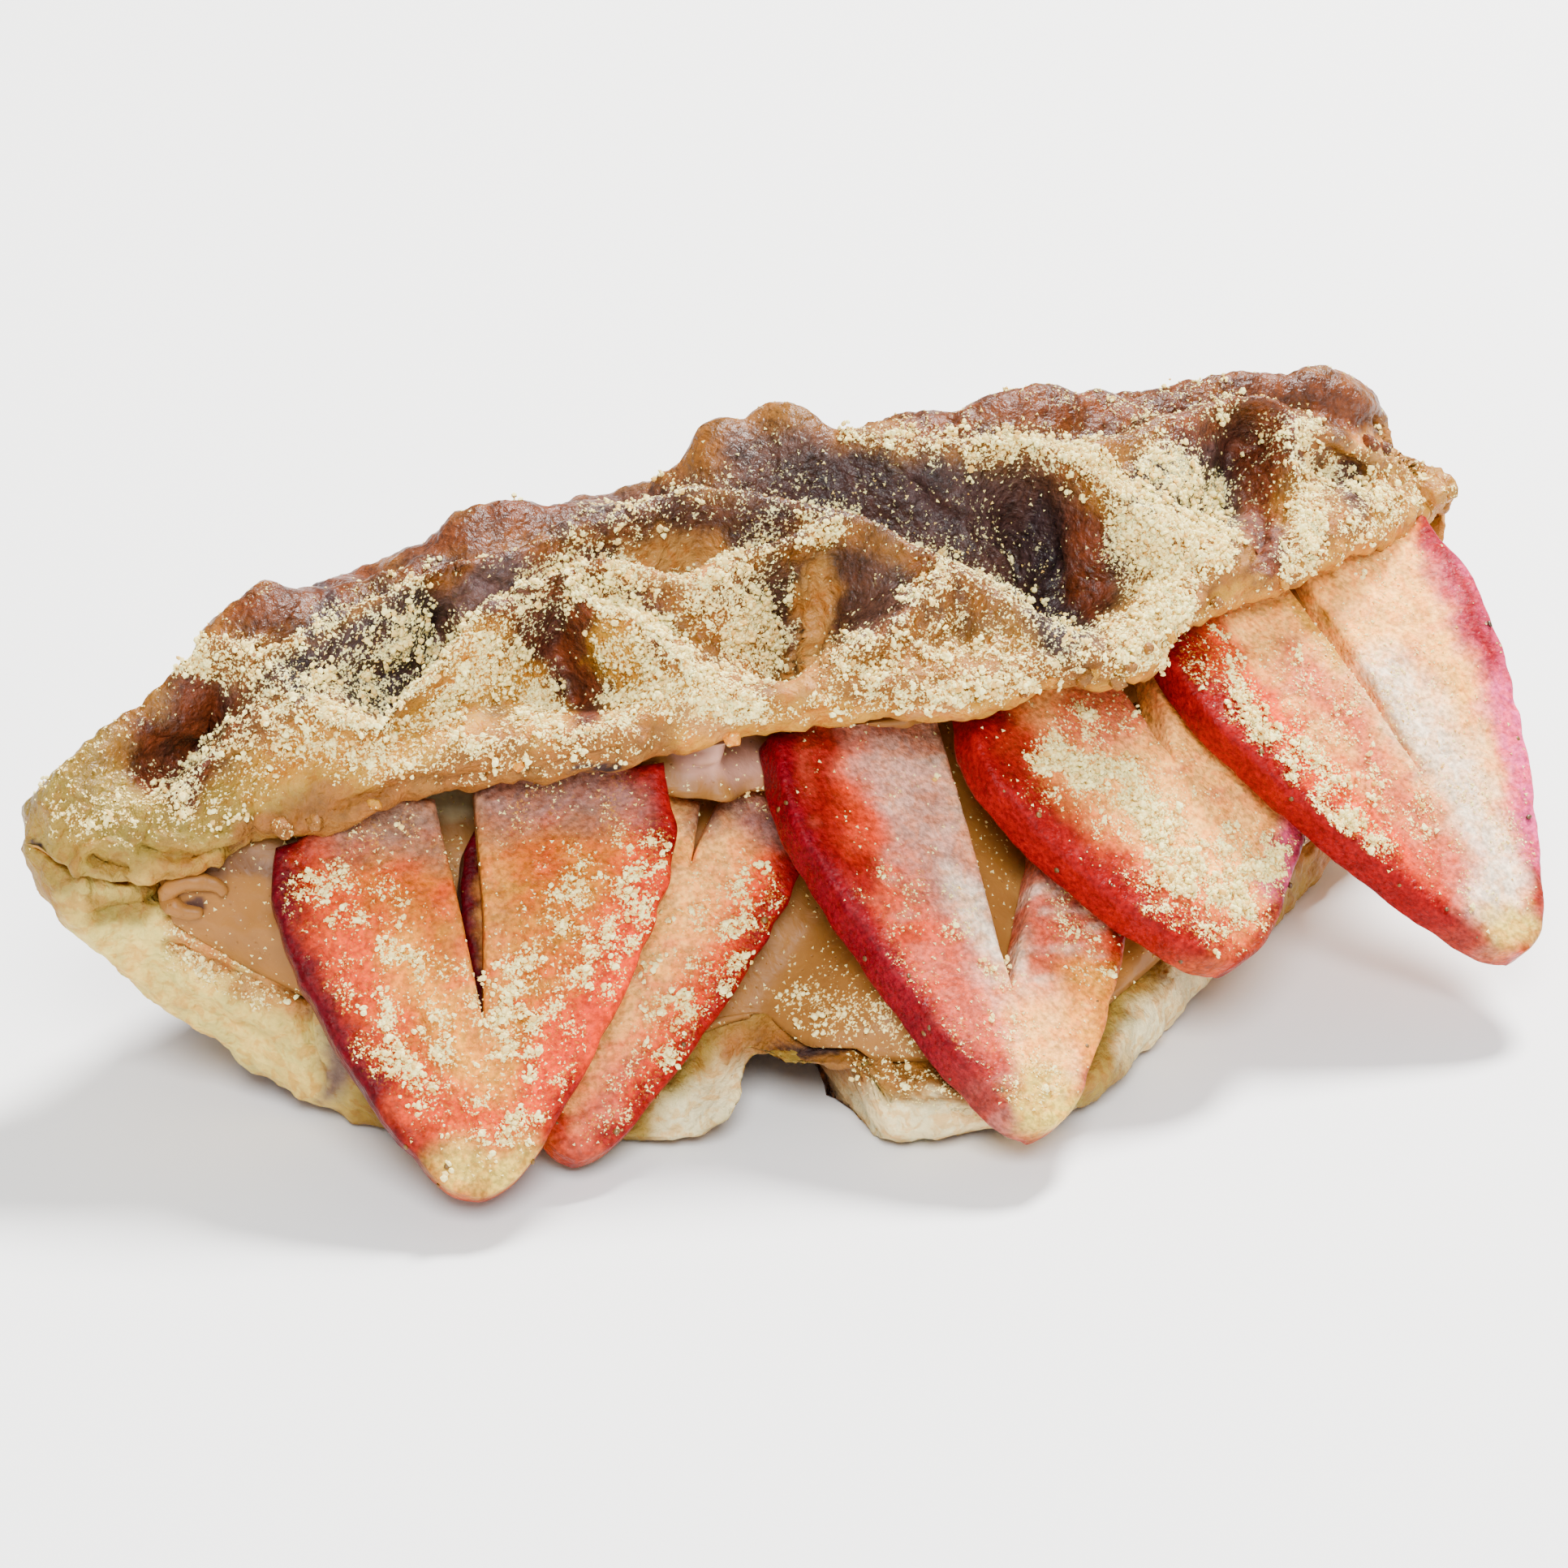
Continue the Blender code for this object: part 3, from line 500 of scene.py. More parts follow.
def well_depth(grid, q, lip_q, end_q):
    """Depth of the pressed wells all round, less the knobs that stand on them."""
    x = grid[:, :, 0]
    sway_x = noise(grid, SWAY_SIZE, 3)
    sway_q = noise(grid, SWAY_SIZE, 4)
    front = top_wells(x + TOP_SWAY * sway_x, q + TOP_SWAY * sway_q)
    front = front * ramp(q, lip_q + LIP_FADE[0], lip_q + LIP_FADE[1])
    rear = rear_wells(x + REAR_SWAY * sway_x, q + REAR_SWAY * sway_q)
    rear = rear * (1.0 - ramp(q, end_q - BASE_FADE[0], end_q - BASE_FADE[1]))
    mix = ramp(q, LATTICE_START - 2.0, LATTICE_START + 2.0)
    tip_fade = 1.0 - ramp(np.abs(x), *TIP_FADE)
    knobs = np.zeros(x.shape)
    for kx, kq, radius, height in KNOBS:
        knobs += height * (1.0 - ramp(np.hypot(x - kx, q - kq), 0.4 * radius, radius))
    return (front * (1.0 - mix) + rear * mix) * tip_fade - knobs


# ---------------------------------------------------------------- slices
def slice_axes(record):
    """Tip, length vector, half-width vector and unit normal of a slice's front face."""
    tip, left, right = [np.array(corner) for corner in record[:3]]
    length = 0.5 * (left + right) - tip
    half = 0.5 * (right - left)
    normal = np.cross(half, length)
    return tip, length, half, normal / np.linalg.norm(normal)


def slice_width(t):
    """Half width of a slice from its tip at 0 to its shoulders at 1."""
    body = 0.12 * (1.0 - np.exp(-t / 0.02)) + 0.88 * (1.0 - (1.0 - t) ** 1.5) ** 0.95
    return body * (1.0 - 0.07 * ramp(t, 0.85, 1.0))


def slice_shadow(record, points, depth, margin, fade):
    """1 where a point, moved along Y to the given depth of the slice, falls on its outline."""
    tip, length, half, normal = slice_axes(record)
    axes = np.linalg.inv(np.stack([length, half, normal], axis=1))
    rel = points - tip
    shift = (rel @ normal + depth) / abs(normal[1])
    rel[..., 1] += shift
    local = rel @ axes.T
    t = local[..., 0]
    width = slice_width(np.clip(t, 0.0, 1.0)) * (1.02 + record.bulge)
    side = (np.abs(local[..., 1]) - width) * np.linalg.norm(half)
    ends = np.maximum(-t, TOP_SHARPNESS * (t - 1.02)) * np.linalg.norm(length)
    weight = 1.0 - ramp(np.maximum(side, ends), margin, margin + fade)
    return weight, np.maximum(shift, 0.0)


def push_behind(points, record, margin, fade, gap):
    """Move points back along Y until they clear the slice's rear face."""
    front, _ = slice_shadow(record, points, -gap, margin, fade)
    rear, shift = slice_shadow(record, points, SLICE_THICKNESS + gap, margin, fade)
    moved = points.copy()
    moved[..., 1] += shift * np.maximum(front, rear)
    return moved


# ---------------------------------------------------------------- colours and marks
def srgb(red, green, blue):
    """Linear colour of an 8-bit one."""
    c = np.array((red, green, blue)) / 255.0
    return np.where(c <= 0.04045, c / 12.92, ((c + 0.055) / 1.055) ** 2.4)


COLORS = {
    # Raw dough; also painted shade in the crease at the mouth's corner.
    "raw_and_shade": srgb(140, 116, 42),
    "dough": srgb(222, 196, 100),
    "pale": srgb(166, 116, 38),
    "tan": srgb(136, 86, 28),
    "gold": srgb(184, 130, 34),
    "honey": srgb(224, 146, 38),
    # Torn layers of crust; also painted shade along the lower jaw's inner rim.
    "torn_and_shade": srgb(178, 126, 62),
    "amber": srgb(94, 46, 18),
    "rust": srgb(96, 44, 22),
    "brown": srgb(76, 47, 36),
    "umber": srgb(60, 40, 38),
    "char": srgb(44, 30, 32),
    "plum": srgb(92, 66, 62),
    "white": srgb(236, 220, 164),
    "cream": srgb(148, 98, 42),
    "cream_dark": srgb(104, 66, 34),
    "crimson": srgb(108, 3, 18),
    "skin": srgb(80, 3, 14),
    "red": srgb(124, 2, 5),
    "ember": srgb(212, 54, 1),
    "orange": srgb(208, 62, 4),
    "flesh": srgb(178, 92, 8),
    "pink": srgb(186, 80, 58),
    "heart": srgb(250, 178, 92),
    # Painted shade, the upper lip's shadow on a slice's top; also a cream smear's colour on the lower jaw.
    "smear_and_shade": srgb(118, 92, 78),
    # Painted shade, the upper lip's shadow on the slices' tops.
    "lip_shadow": srgb(118, 86, 80),
    "milk": srgb(200, 148, 128),
    "ivory": srgb(236, 216, 190),
    "tip": srgb(204, 176, 76),
    "magenta": srgb(210, 72, 120),
}

# Marks on the photograph's side: colour, radius in pixels, softness as a share of it, line of pixels.
CRUST_MARKS = (
    ("raw_and_shade", 70, 0.8, ((60, 1040), (120, 1000), (200, 1010), (280, 1000), (340, 960))),
    ("dough", 90, 0.7, ((140, 1150), (200, 1200), (280, 1270), (380, 1330))),
    ("gold", 60, 0.9, ((330, 950), (390, 930), (470, 940), (560, 880), (600, 800))),
    ("gold", 50, 0.9, ((740, 780), (800, 850), (880, 890), (1000, 860))),
    ("tan", 30, 0.7, ((300, 1020), (420, 1000), (560, 950), (700, 930), (850, 905), (1000, 890),
                      (1150, 885))),
    ("rust", 46, 0.7, ((238, 860), (245, 920), (225, 970))),
    ("rust", 34, 0.8, ((190, 900), (175, 940), (205, 960))),
    ("umber", 48, 0.7, ((360, 840), (430, 800), (500, 760), (480, 850))),
    ("char", 30, 0.8, ((440, 860), (480, 830), (530, 750))),
    ("plum", 34, 0.8, ((560, 745), (600, 725), (640, 705))),
    ("amber", 50, 0.9, ((310, 760), (350, 730), (440, 705))),
    ("umber", 20, 0.8, ((402, 722), (413, 750), (380, 778))),
    ("amber", 60, 0.9, ((520, 680), (600, 640), (680, 610))),
    ("brown", 40, 0.9, ((700, 640), (760, 620), (840, 600))),
    ("gold", 44, 0.8, ((610, 820), (650, 850), (670, 880))),
    ("rust", 30, 0.6, ((714, 760), (716, 820), (722, 880))),
    ("torn_and_shade", 40, 0.6, ((790, 690), (830, 680), (870, 690))),
    ("brown", 46, 0.8, ((820, 640), (900, 640), (960, 650))),
    ("tan", 60, 0.8, ((860, 770), (920, 780), (930, 830))),
    ("torn_and_shade", 36, 0.5, ((1010, 720), (1005, 780), (990, 830))),
    ("brown", 46, 0.6, ((1060, 700), (1090, 740), (1060, 770))),
    ("umber", 70, 0.7, ((960, 580), (1060, 600), (1160, 610), (1240, 650), (1290, 700), (1320, 770))),
    ("brown", 60, 0.9, ((930, 560), (980, 560))),
    ("char", 24, 0.8, ((1275, 620), (1288, 690), (1300, 740))),
    ("rust", 34, 0.7, ((1330, 640), (1340, 690), (1345, 740))),
    ("umber", 60, 0.8, ((1420, 600), (1480, 580), (1500, 640))),
    ("rust", 30, 0.6, ((1552, 560), (1556, 620), (1560, 690))),
    ("brown", 34, 0.8, ((1660, 580), (1680, 610))),
    ("amber", 60, 0.9, ((1140, 510), (1240, 500), (1380, 500))),
    ("amber", 44, 0.7, ((1540, 480), (1590, 470), (1660, 500))),
    ("torn_and_shade", 20, 0.6, ((1685, 540), (1715, 550))),
    ("pale", 30, 0.8, ((1740, 600), (1780, 605))),
    # Painted shade in the crease at the mouth's corner.
    ("raw_and_shade", 30, 0.9, ((120, 1120), (160, 1118), (200, 1104))),
    ("white", 50, 0.9, ((840, 1390), (880, 1360), (910, 1330))),
    ("tan", 60, 0.8, ((930, 1290), (1080, 1300), (1160, 1330), (1240, 1370))),
    ("white", 40, 0.6, ((1064, 1384), (1150, 1386), (1240, 1392), (1300, 1390))),
    ("umber", 12, 0.7, ((960, 1298), (1000, 1286), (1040, 1286))),
    # Painted shade along the lower jaw's inner rim, where it meets the cream.
    ("torn_and_shade", 40, 0.7, ((230, 1160), (310, 1190), (370, 1230))),
    ("smear_and_shade", 34, 0.9, ((405, 1250), (420, 1330))),
    ("gold", 32, 0.8, ((850, 905), (1000, 888), (1150, 882), (1300, 866), (1380, 850), (1440, 800),
                       (1520, 745), (1640, 700), (1760, 630))),
    ("torn_and_shade", 18, 0.8, ((836, 878), (862, 890), (884, 892))),
    ("torn_and_shade", 16, 0.8, ((1130, 872), (1180, 868))),
    ("tan", 18, 0.8, ((1560, 722), (1600, 716))),
    ("char", 7, 0.6, ((714, 943), (732, 940), (750, 938))),
    ("umber", 6, 0.8, ((30, 1040), (50, 1036))),
    ("white", 50, 0.9, ((1400, 1290), (1450, 1230), (1520, 1170))),
    ("tan", 50, 0.9, ((1590, 1020), (1640, 1060), (1690, 1060))),
)
# Powder: how much of the surface it hides, radius, softness, line of pixels.
CRUST_POWDER = (
    (0.32, 60, 0.9, ((90, 1000), (150, 1000), (230, 1000), (320, 950))),
    (0.46, 54, 0.9, ((330, 900), (400, 920), (460, 930))),
    (0.56, 60, 0.8, ((380, 840), (450, 830), (500, 770))),
    (0.58, 60, 0.9, ((540, 870), (590, 820), (640, 750), (720, 730), (790, 760))),
    (0.48, 46, 0.7, ((610, 820), (650, 840), (660, 880))),
    (0.84, 60, 0.8, ((750, 770), (800, 820), (860, 860), (930, 890))),
    (0.42, 40, 0.9, ((470, 950), (560, 930), (660, 920), (760, 900))),
    (0.25, 44, 0.8, ((700, 660), (780, 640), (880, 610), (960, 620), (1050, 650))),
    (0.58, 60, 0.7, ((880, 740), (930, 700), (960, 740), (930, 800))),
    (0.0, 44, 0.9, ((310, 765), (345, 745), (400, 718))),
    (0.0, 60, 0.8, ((900, 545), (960, 530), (1040, 540))),
    (0.38, 60, 0.8, ((1030, 850), (1100, 810), (1180, 780), (1260, 800), (1340, 800))),
    (0.66, 44, 0.8, ((1100, 870), (1200, 860), (1300, 850), (1380, 830))),
    (0.10, 70, 0.8, ((960, 570), (1060, 600), (1160, 620), (1240, 680), (1300, 740))),
    (0.88, 60, 0.7, ((1380, 660), (1430, 700), (1440, 760), (1400, 800))),
    (0.70, 50, 0.7, ((1430, 570), (1470, 600), (1490, 660))),
    (0.62, 46, 0.8, ((1520, 505), (1590, 520), (1620, 600), (1600, 690))),
    (0.45, 40, 0.8, ((1660, 580), (1700, 600), (1680, 650), (1740, 600))),
    (0.05, 50, 0.9, ((1160, 525), (1240, 515), (1340, 520))),
    (0.01, 60, 0.8, ((1540, 470), (1640, 480), (1680, 520))),
    (0.0, 60, 0.8, ((420, 680), (560, 660), (680, 620))),
    (0.72, 36, 1.0, ((200, 806), (268, 801), (330, 823), (370, 863), (420, 888), (464, 903))),
    (0.55, 30, 1.0, ((205, 992), (260, 930), (310, 885), (365, 862))),
    (0.72, 44, 0.9, ((250, 815), (300, 832), (350, 850))),
    (0.40, 28, 1.0, ((330, 815), (384, 778), (473, 736), (527, 707))),
    (0.55, 34, 1.0, ((469, 899), (536, 819), (603, 747), (661, 711), (732, 696), (790, 700), (844, 716),
                     (873, 710), (910, 687), (952, 662), (1035, 638))),
    (0.75, 38, 1.0, ((728, 729), (769, 754), (815, 787), (852, 832), (898, 866), (956, 895))),
    (0.50, 32, 1.0, ((998, 858), (1035, 808), (1080, 779), (1122, 745), (1174, 693))),
    (0.34, 30, 1.0, ((1122, 669), (1227, 726), (1337, 793), (1385, 836))),
    (0.85, 40, 1.0, ((1200, 549), (1318, 563), (1394, 616), (1447, 659), (1495, 688))),
    (0.50, 22, 0.8, ((1050, 535), (1217, 549))),
    (0.03, 26, 0.8, ((560, 740), (620, 715))),
    (0.05, 24, 0.7, ((714, 760), (718, 820), (724, 880))),
    (0.03, 26, 0.7, ((800, 690), (860, 690))),
    (0.05, 36, 0.6, ((1010, 720), (1005, 780), (985, 840))),
    (0.05, 40, 0.7, ((1070, 710), (1085, 750))),
    (0.05, 36, 0.7, ((1335, 640), (1345, 710))),
    (0.10, 26, 0.7, ((1552, 560), (1556, 620), (1560, 690))),
    (0.62, 30, 0.9, ((610, 800), (640, 840), (670, 880))),
    (0.80, 34, 0.9, ((742, 770), (756, 820), (776, 870))),
    (0.74, 34, 0.9, ((900, 790), (935, 750), (950, 700))),
    (0.26, 26, 0.9, ((560, 960), (700, 936), (850, 912), (1000, 896), (1150, 886), (1300, 872))),
    (0.26, 24, 0.9, ((1440, 800), (1520, 750), (1600, 716), (1700, 670))),
    (0.40, 40, 0.8, ((220, 1170), (280, 1200), (330, 1220))),
    (0.30, 40, 0.8, ((1070, 1310), (1120, 1330), (1200, 1350))),
)


# How far a mark's edge sways, in pixels, over what size, in millimetres, and the noise's seed.
PAINT_SWAY = (14.0, 2.4, 71)
DUST_SWAY = (10.0, 1.8, 81)
DENT_SWAY = (5.0, 1.5, 91)


def wavy_place(points, reach, size, seed, octaves=3):
    """Pixels of points, swayed a little so that a mark's edge is uneven."""
    column, row = photo_place(points)
    column = column + reach * rough_noise(points, size, seed, octaves)
    row = row + reach * rough_noise(points, size, seed + 1, octaves)
    return column, row


def mark_weight(column, row, radius, softness, line):
    """How strongly a mark covers each pixel place."""
    return 1.0 - ramp(line_distance(column, row, line), radius * (1.0 - softness), radius)


def lay(color, name, weight):
    """Lays a named colour over others, by a weight from 0 to 1."""
    weight = np.clip(weight, 0.0, 1.0)[..., None]
    return color * (1.0 - weight) + COLORS[name] * weight


def lay_all(color, layers):
    """Lays pairs of a colour's name and its weight, one over the other."""
    for name, weight in layers:
        color = lay(color, name, weight)
    return color


def paint(color, points, seen, marks):
    """Lays coloured marks over points that the photograph shows."""
    column, row = wavy_place(points, *PAINT_SWAY)
    for name, radius, softness, line in marks:
        color = lay(color, name, mark_weight(column, row, radius, softness, line) * seen)
    return color


def dust(amount, points, seen, marks):
    """Sets the powder's cover where marks lie."""
    column, row = wavy_place(points, *DUST_SWAY)
    for value, radius, softness, line in marks:
        weight = mark_weight(column, row, radius, softness, line) * seen
        amount = amount * (1.0 - weight) + value * weight
    return amount


def cluster(points, size, seed, low, high):
    """Gain from low to high that gathers the powder in patches."""
    return low + (high - low) * ramp(rough_noise(points, size, seed, 2), -0.3, 0.6)


# ---------------------------------------------------------------- meshes
def tube_quads(n, m):
    """Quads of a tube grid of n sections with m points each."""
    i, j = np.meshgrid(np.arange(n - 1), np.arange(m), indexing="ij")
    k = (j + 1) % m
    return np.stack([i * m + j, (i + 1) * m + j, (i + 1) * m + k, i * m + k], axis=-1).reshape(-1, 4)


def tube_faces(n, m):
    """Faces of a tube grid with a point added at each end."""
    j = np.arange(m)
    k = (j + 1) % m
    start = np.stack([np.full(m, n * m), j, k], axis=1)
    end = np.stack([np.full(m, n * m + 1), (n - 1) * m + k, (n - 1) * m + j], axis=1)
    return [tuple(face) for group in (tube_quads(n, m), start, end) for face in group]


def tube_triangles(n, m):
    """Triangles of a tube grid, for scattering."""
    quads = tube_quads(n, m)
    return np.concatenate([quads[:, [0, 1, 2]], quads[:, [0, 2, 3]]])


def add_object(name, data):
    """New object of the scene with its mesh, lamp or camera."""
    made = bpy.data.objects.new(name, data)
    bpy.context.collection.objects.link(made)
    return made


def add_piece(name, verts, faces, material, values, node=None):
    """Mesh object with its point attributes, riding in the one body."""
    mesh = bpy.data.meshes.new(name)
    points = (np.asarray(verts, float) + np.array(FRAME_SHIFT)) * MM
    mesh.from_pydata([tuple(p) for p in points], [], [tuple(int(k) for k in f) for f in faces])
    mesh.update()
    for key, data in values.items():
        data = np.asarray(data, np.float32)
        if data.ndim == 2:
            layer = mesh.attributes.new(key, "FLOAT_COLOR", "POINT")
            opaque = np.ones((len(points), 4), np.float32)
            opaque[:, :3] = data
            layer.data.foreach_set("color", opaque.ravel())
        else:
            layer = mesh.attributes.new(key, "FLOAT", "POINT")
            layer.data.foreach_set("value", data)
    mesh.polygons.foreach_set("use_smooth", [True] * len(mesh.polygons))
    mesh.materials.append(material)
    piece = add_object(name, mesh)
    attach(piece, "root")
    if node:
        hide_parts(node)
    return piece


def scatter(surfaces, count, seed):
    """Random places on surfaces, by area and by how likely each triangle is.

    A surface is (vertices, triangles, chance at each vertex).  Gives places and normals.
    """
    rng = np.random.default_rng(seed)
    corners = []
    chance = []
    for verts, triangles, likely in surfaces:
        tri = verts[triangles]
        area = 0.5 * np.linalg.norm(np.cross(tri[:, 1] - tri[:, 0], tri[:, 2] - tri[:, 0]), axis=1)
        corners.append(tri)
        chance.append(area * likely[triangles].mean(axis=1))
    corners = np.concatenate(corners)
    chance = np.concatenate(chance)
    pick = rng.choice(len(corners), size=count, p=chance / chance.sum())
    u = rng.random((count, 2))
    flip = u.sum(axis=1) > 1.0
    u[flip] = 1.0 - u[flip]
    start = corners[pick, 0]
    first = corners[pick, 1] - start
    second = corners[pick, 2] - start
    return start + u[:, :1] * first + u[:, 1:] * second, unit(np.cross(first, second))


def lump_shape(rings, around):
    """Unit ball with few sides."""
    verts = [(0.0, 0.0, 1.0)]
    for i in range(1, rings):
        polar = math.pi * i / rings
        for j in range(around):
            turn = 2.0 * math.pi * (j + 0.5 * (i % 2)) / around
            wide = math.sin(polar)
            verts.append((wide * math.cos(turn), wide * math.sin(turn), math.cos(polar)))
    verts.append((0.0, 0.0, -1.0))
    last = len(verts) - 1
    base = last - around
    faces = []
    for j in range(around):
        k = (j + 1) % around
        faces.append((0, 1 + j, 1 + k))
        faces.append((last, base + k, base + j))
    for low in range(1, base, around):
        high = low + around
        for j in range(around):
            k = (j + 1) % around
            faces.append((low + j, high + j, high + k, low + k))
    return np.array(verts), faces


# Lumps: how far their middles stand off the surface, as a share of the radius, how much they stretch,
# the powder on them and their roughness, and from how many points on they are shaded smooth.
LUMP_RISE = 0.25
LUMP_STRETCH = (0.7, 1.3)
LUMP_DUST = 0.15
LUMP_ROUGH = 0.5
SMOOTH_FROM = 20


def add_lumps(name, place, normal, radii, shape, flatness, material, seed, color=None, uneven=0.28):
    """Many small uneven lumps as one mesh."""
    rng = np.random.default_rng(seed)
    verts, faces = shape
    count = len(place)
    side = unit(np.cross(normal, rng.normal(size=(count, 3))))
    third = np.cross(normal, side)
    stretch = rng.uniform(*LUMP_STRETCH, (count, 2))
    jitter = 1.0 + rng.uniform(-uneven, uneven, (count, len(verts)))
    local = verts[None] * jitter[..., None] * radii[:, None, None]
    points = (place[:, None] + local[..., :1] * stretch[:, None, :1] * side[:, None]
              + local[..., 1:2] * stretch[:, None, 1:] * third[:, None]
              + (local[..., 2:] * flatness + LUMP_RISE * radii[:, None, None]) * normal[:, None])
    all_faces = []
    for face in faces:
        ring = np.array(face)[None] + (np.arange(count) * len(verts))[:, None]
        all_faces.extend(ring.tolist())
    shade = np.repeat(rng.random(count) ** 0.5, len(verts))
    values = {
        "shade": shade,
        "dust": np.full(len(shade), LUMP_DUST),
        "rough": np.full(len(shade), LUMP_ROUGH),
    }
    if color is not None:
        values["tone"] = np.repeat(color, len(verts), axis=0)
    piece = add_piece(name, points.reshape(-1, 3), all_faces, material, values)
    is_smooth = len(verts) > SMOOTH_FROM
    piece.data.polygons.foreach_set("use_smooth", [is_smooth] * len(piece.data.polygons))


# ---------------------------------------------------------------- materials
class Graph:
    """Small helper that adds linked shader nodes to a new material."""

    def __init__(self, name):
        self.material = bpy.data.materials.new(name)
        self.material.use_nodes = True
        self.tree = self.material.node_tree
        self.shader = self.tree.nodes["Principled BSDF"]

    def node(self, kind, **options):
        """New shader node of a kind, with its options set."""
        made = self.tree.nodes.new("ShaderNode" + kind)
        for key, value in options.items():
            setattr(made, key, value)
        return made

    def plug(self, value, socket):
        """Links a socket to another, or sets its value."""
        if isinstance(value, bpy.types.NodeSocket):
            self.tree.links.new(value, socket)
        else:
            socket.default_value = value

    def feed(self, name, value):
        """Links or sets an input of the material's own shader."""
        self.plug(value, self.shader.inputs[name])

    def set_body(self, body):
        """Sets how light goes into the material and shines on it."""
        self.feed("Subsurface Weight", body.subsurface)
        self.feed("Subsurface Radius", body.radius)
        self.feed("Specular IOR Level", body.specular)

    def math(self, operation, a, b, clamp=False):
        """An operation on two values."""
        made = self.node("Math", operation=operation, use_clamp=clamp)
        self.plug(a, made.inputs[0])
        self.plug(b, made.inputs[1])
        return made.outputs[0]

    def times(self, a, b):
        """Product of two values."""
        return self.math("MULTIPLY", a, b)

    def plus(self, a, b, clamp=False):
        """Sum of two values, kept from 0 to 1 if asked."""
        return self.math("ADD", a, b, clamp)

    def attribute(self, name, color=False):
        """Value or colour stored on the mesh."""
        made = self.node("Attribute", attribute_name=name)
        return made.outputs["Color"] if color else made.outputs["Fac"]

    def texture(self, kind, size):
        """Texture node with features about size millimetres across."""
        where = self.node("TexCoord").outputs["Object"]
        made = self.node(kind)
        self.plug(where, made.inputs["Vector"])
        made.inputs["Scale"].default_value = 1.0 / (size * MM)
        return made

    def noise(self, size, detail=2.0, distortion=0.0):
        """Cloudy noise."""
        made = self.texture("TexNoise", size)
        made.inputs["Detail"].default_value = detail
        made.inputs["Distortion"].default_value = distortion
        return made.outputs["Fac"]

    def cells(self, size):
        """Distance to the nearest of scattered points."""
        return self.texture("TexVoronoi", size).outputs["Distance"]

    def span(self, value, low, high, out_low=0.0, out_high=1.0):
        """Smooth change from out_low to out_high as the value goes from low to high."""
        made = self.node("MapRange", interpolation_type="SMOOTHSTEP")
        self.plug(value, made.inputs["Value"])
        made.inputs["From Min"].default_value = low
        made.inputs["From Max"].default_value = high
        made.inputs["To Min"].default_value = out_low
        made.inputs["To Max"].default_value = out_high
        return made.outputs["Result"]

    def mix(self, factor, a, b, blend="MIX"):
        """Colour a with b laid over it."""
        made = self.node("Mix", data_type="RGBA", blend_type=blend)
        self.plug(factor, made.inputs["Factor"])
        self.plug(a, made.inputs["A"])
        self.plug(b, made.inputs["B"])
        return made.outputs["Result"]

    def shade(self, tone, gain):
        """Colour made lighter or darker by a gain."""
        gray = self.node("CombineColor")
        for channel in gray.inputs:
            self.plug(gain, channel)
        return self.mix(1.0, tone, gray.outputs[0], "MULTIPLY")

    def bump(self, height, distance, strength=1.0, below=None):
        """Normal over a height; distance in millimetres, below is the normal underneath."""
        made = self.node("Bump")
        made.inputs["Strength"].default_value = strength
        made.inputs["Distance"].default_value = distance * MM
        self.plug(height, made.inputs["Height"])
        if below is not None:
            self.plug(below, made.inputs["Normal"])
        return made.outputs["Normal"]


def rgba(linear, gain=1.0):
    """Linear colour with a gain, as a shader takes it."""
    return tuple(float(v) * gain for v in linear) + (1.0,)


POWDER_LIGHT = rgba(srgb(255, 246, 172))
POWDER_WARM = rgba(srgb(214, 160, 68))
POWDER_COOL = rgba(srgb(158, 148, 124))
# What breaks up the powder's edge: size in millimetres and share.
GRAIN_NOISE = (0.20, 0.40)
HEAP_NOISE = (0.42, 0.35)
CLUMP_NOISE = (1.7, 0.25)
# How far light goes into a material and in which colours, in metres, how much it shines, and how
# much the edge of the powder on it is broken up.
Body = namedtuple("Body", "subsurface radius specular spread")
CRUST_BODY = Body(0.08, (0.002, 0.001, 0.0005), 0.26, 4.4)
CREAM_BODY = Body(0.2, (0.003, 0.0018, 0.001), 0.2, 3.4)
FRUIT_BODY = Body(0.08, (0.004, 0.0012, 0.0008), 0.08, 4.2)


def powder_layer(graph, spread, thin=POWDER_WARM):
    """Cover, colour and heaps of fine powder, from the cover painted on the mesh.  Heap tops are lighter
    and the gaps darker, partly thicker and thinner powder, partly painted light and painted shade.
    """
    cover = graph.attribute("dust")
    heap = graph.noise(HEAP_NOISE[0])
    grain = graph.times(graph.noise(GRAIN_NOISE[0]), GRAIN_NOISE[1])
    lump = graph.times(heap, HEAP_NOISE[1])
    clump = graph.times(graph.noise(CLUMP_NOISE[0]), CLUMP_NOISE[1])
    mixed = graph.plus(graph.plus(grain, lump), clump)
    spreading = graph.times(graph.math("SUBTRACT", mixed, 0.5), spread)
    level = graph.plus(graph.math("SUBTRACT", cover, 0.5), spreading)
    shown = graph.times(graph.span(level, -0.06, 0.08), graph.span(cover, 0.0, 0.15))
    # Painted light and shade: the heap noise that the bump raises also gives the tops the light powder
    # colour and the gaps the darker thin one; partly this is thicker and thinner powder.
    thick_and_lit = graph.times(graph.span(level, -0.05, 0.35, 0.35, 1.0), graph.span(heap, 0.36, 0.56))
    height = graph.times(cover, heap)
    return shown, graph.mix(thick_and_lit, thin, POWDER_LIGHT), height


CRUST_WARM = (1.12, 0.96, 0.82, 1.0)
CRUST_COOL = (0.92, 0.96, 1.02, 1.0)
TOASTED = (0.86, 0.62, 0.36, 1.0)


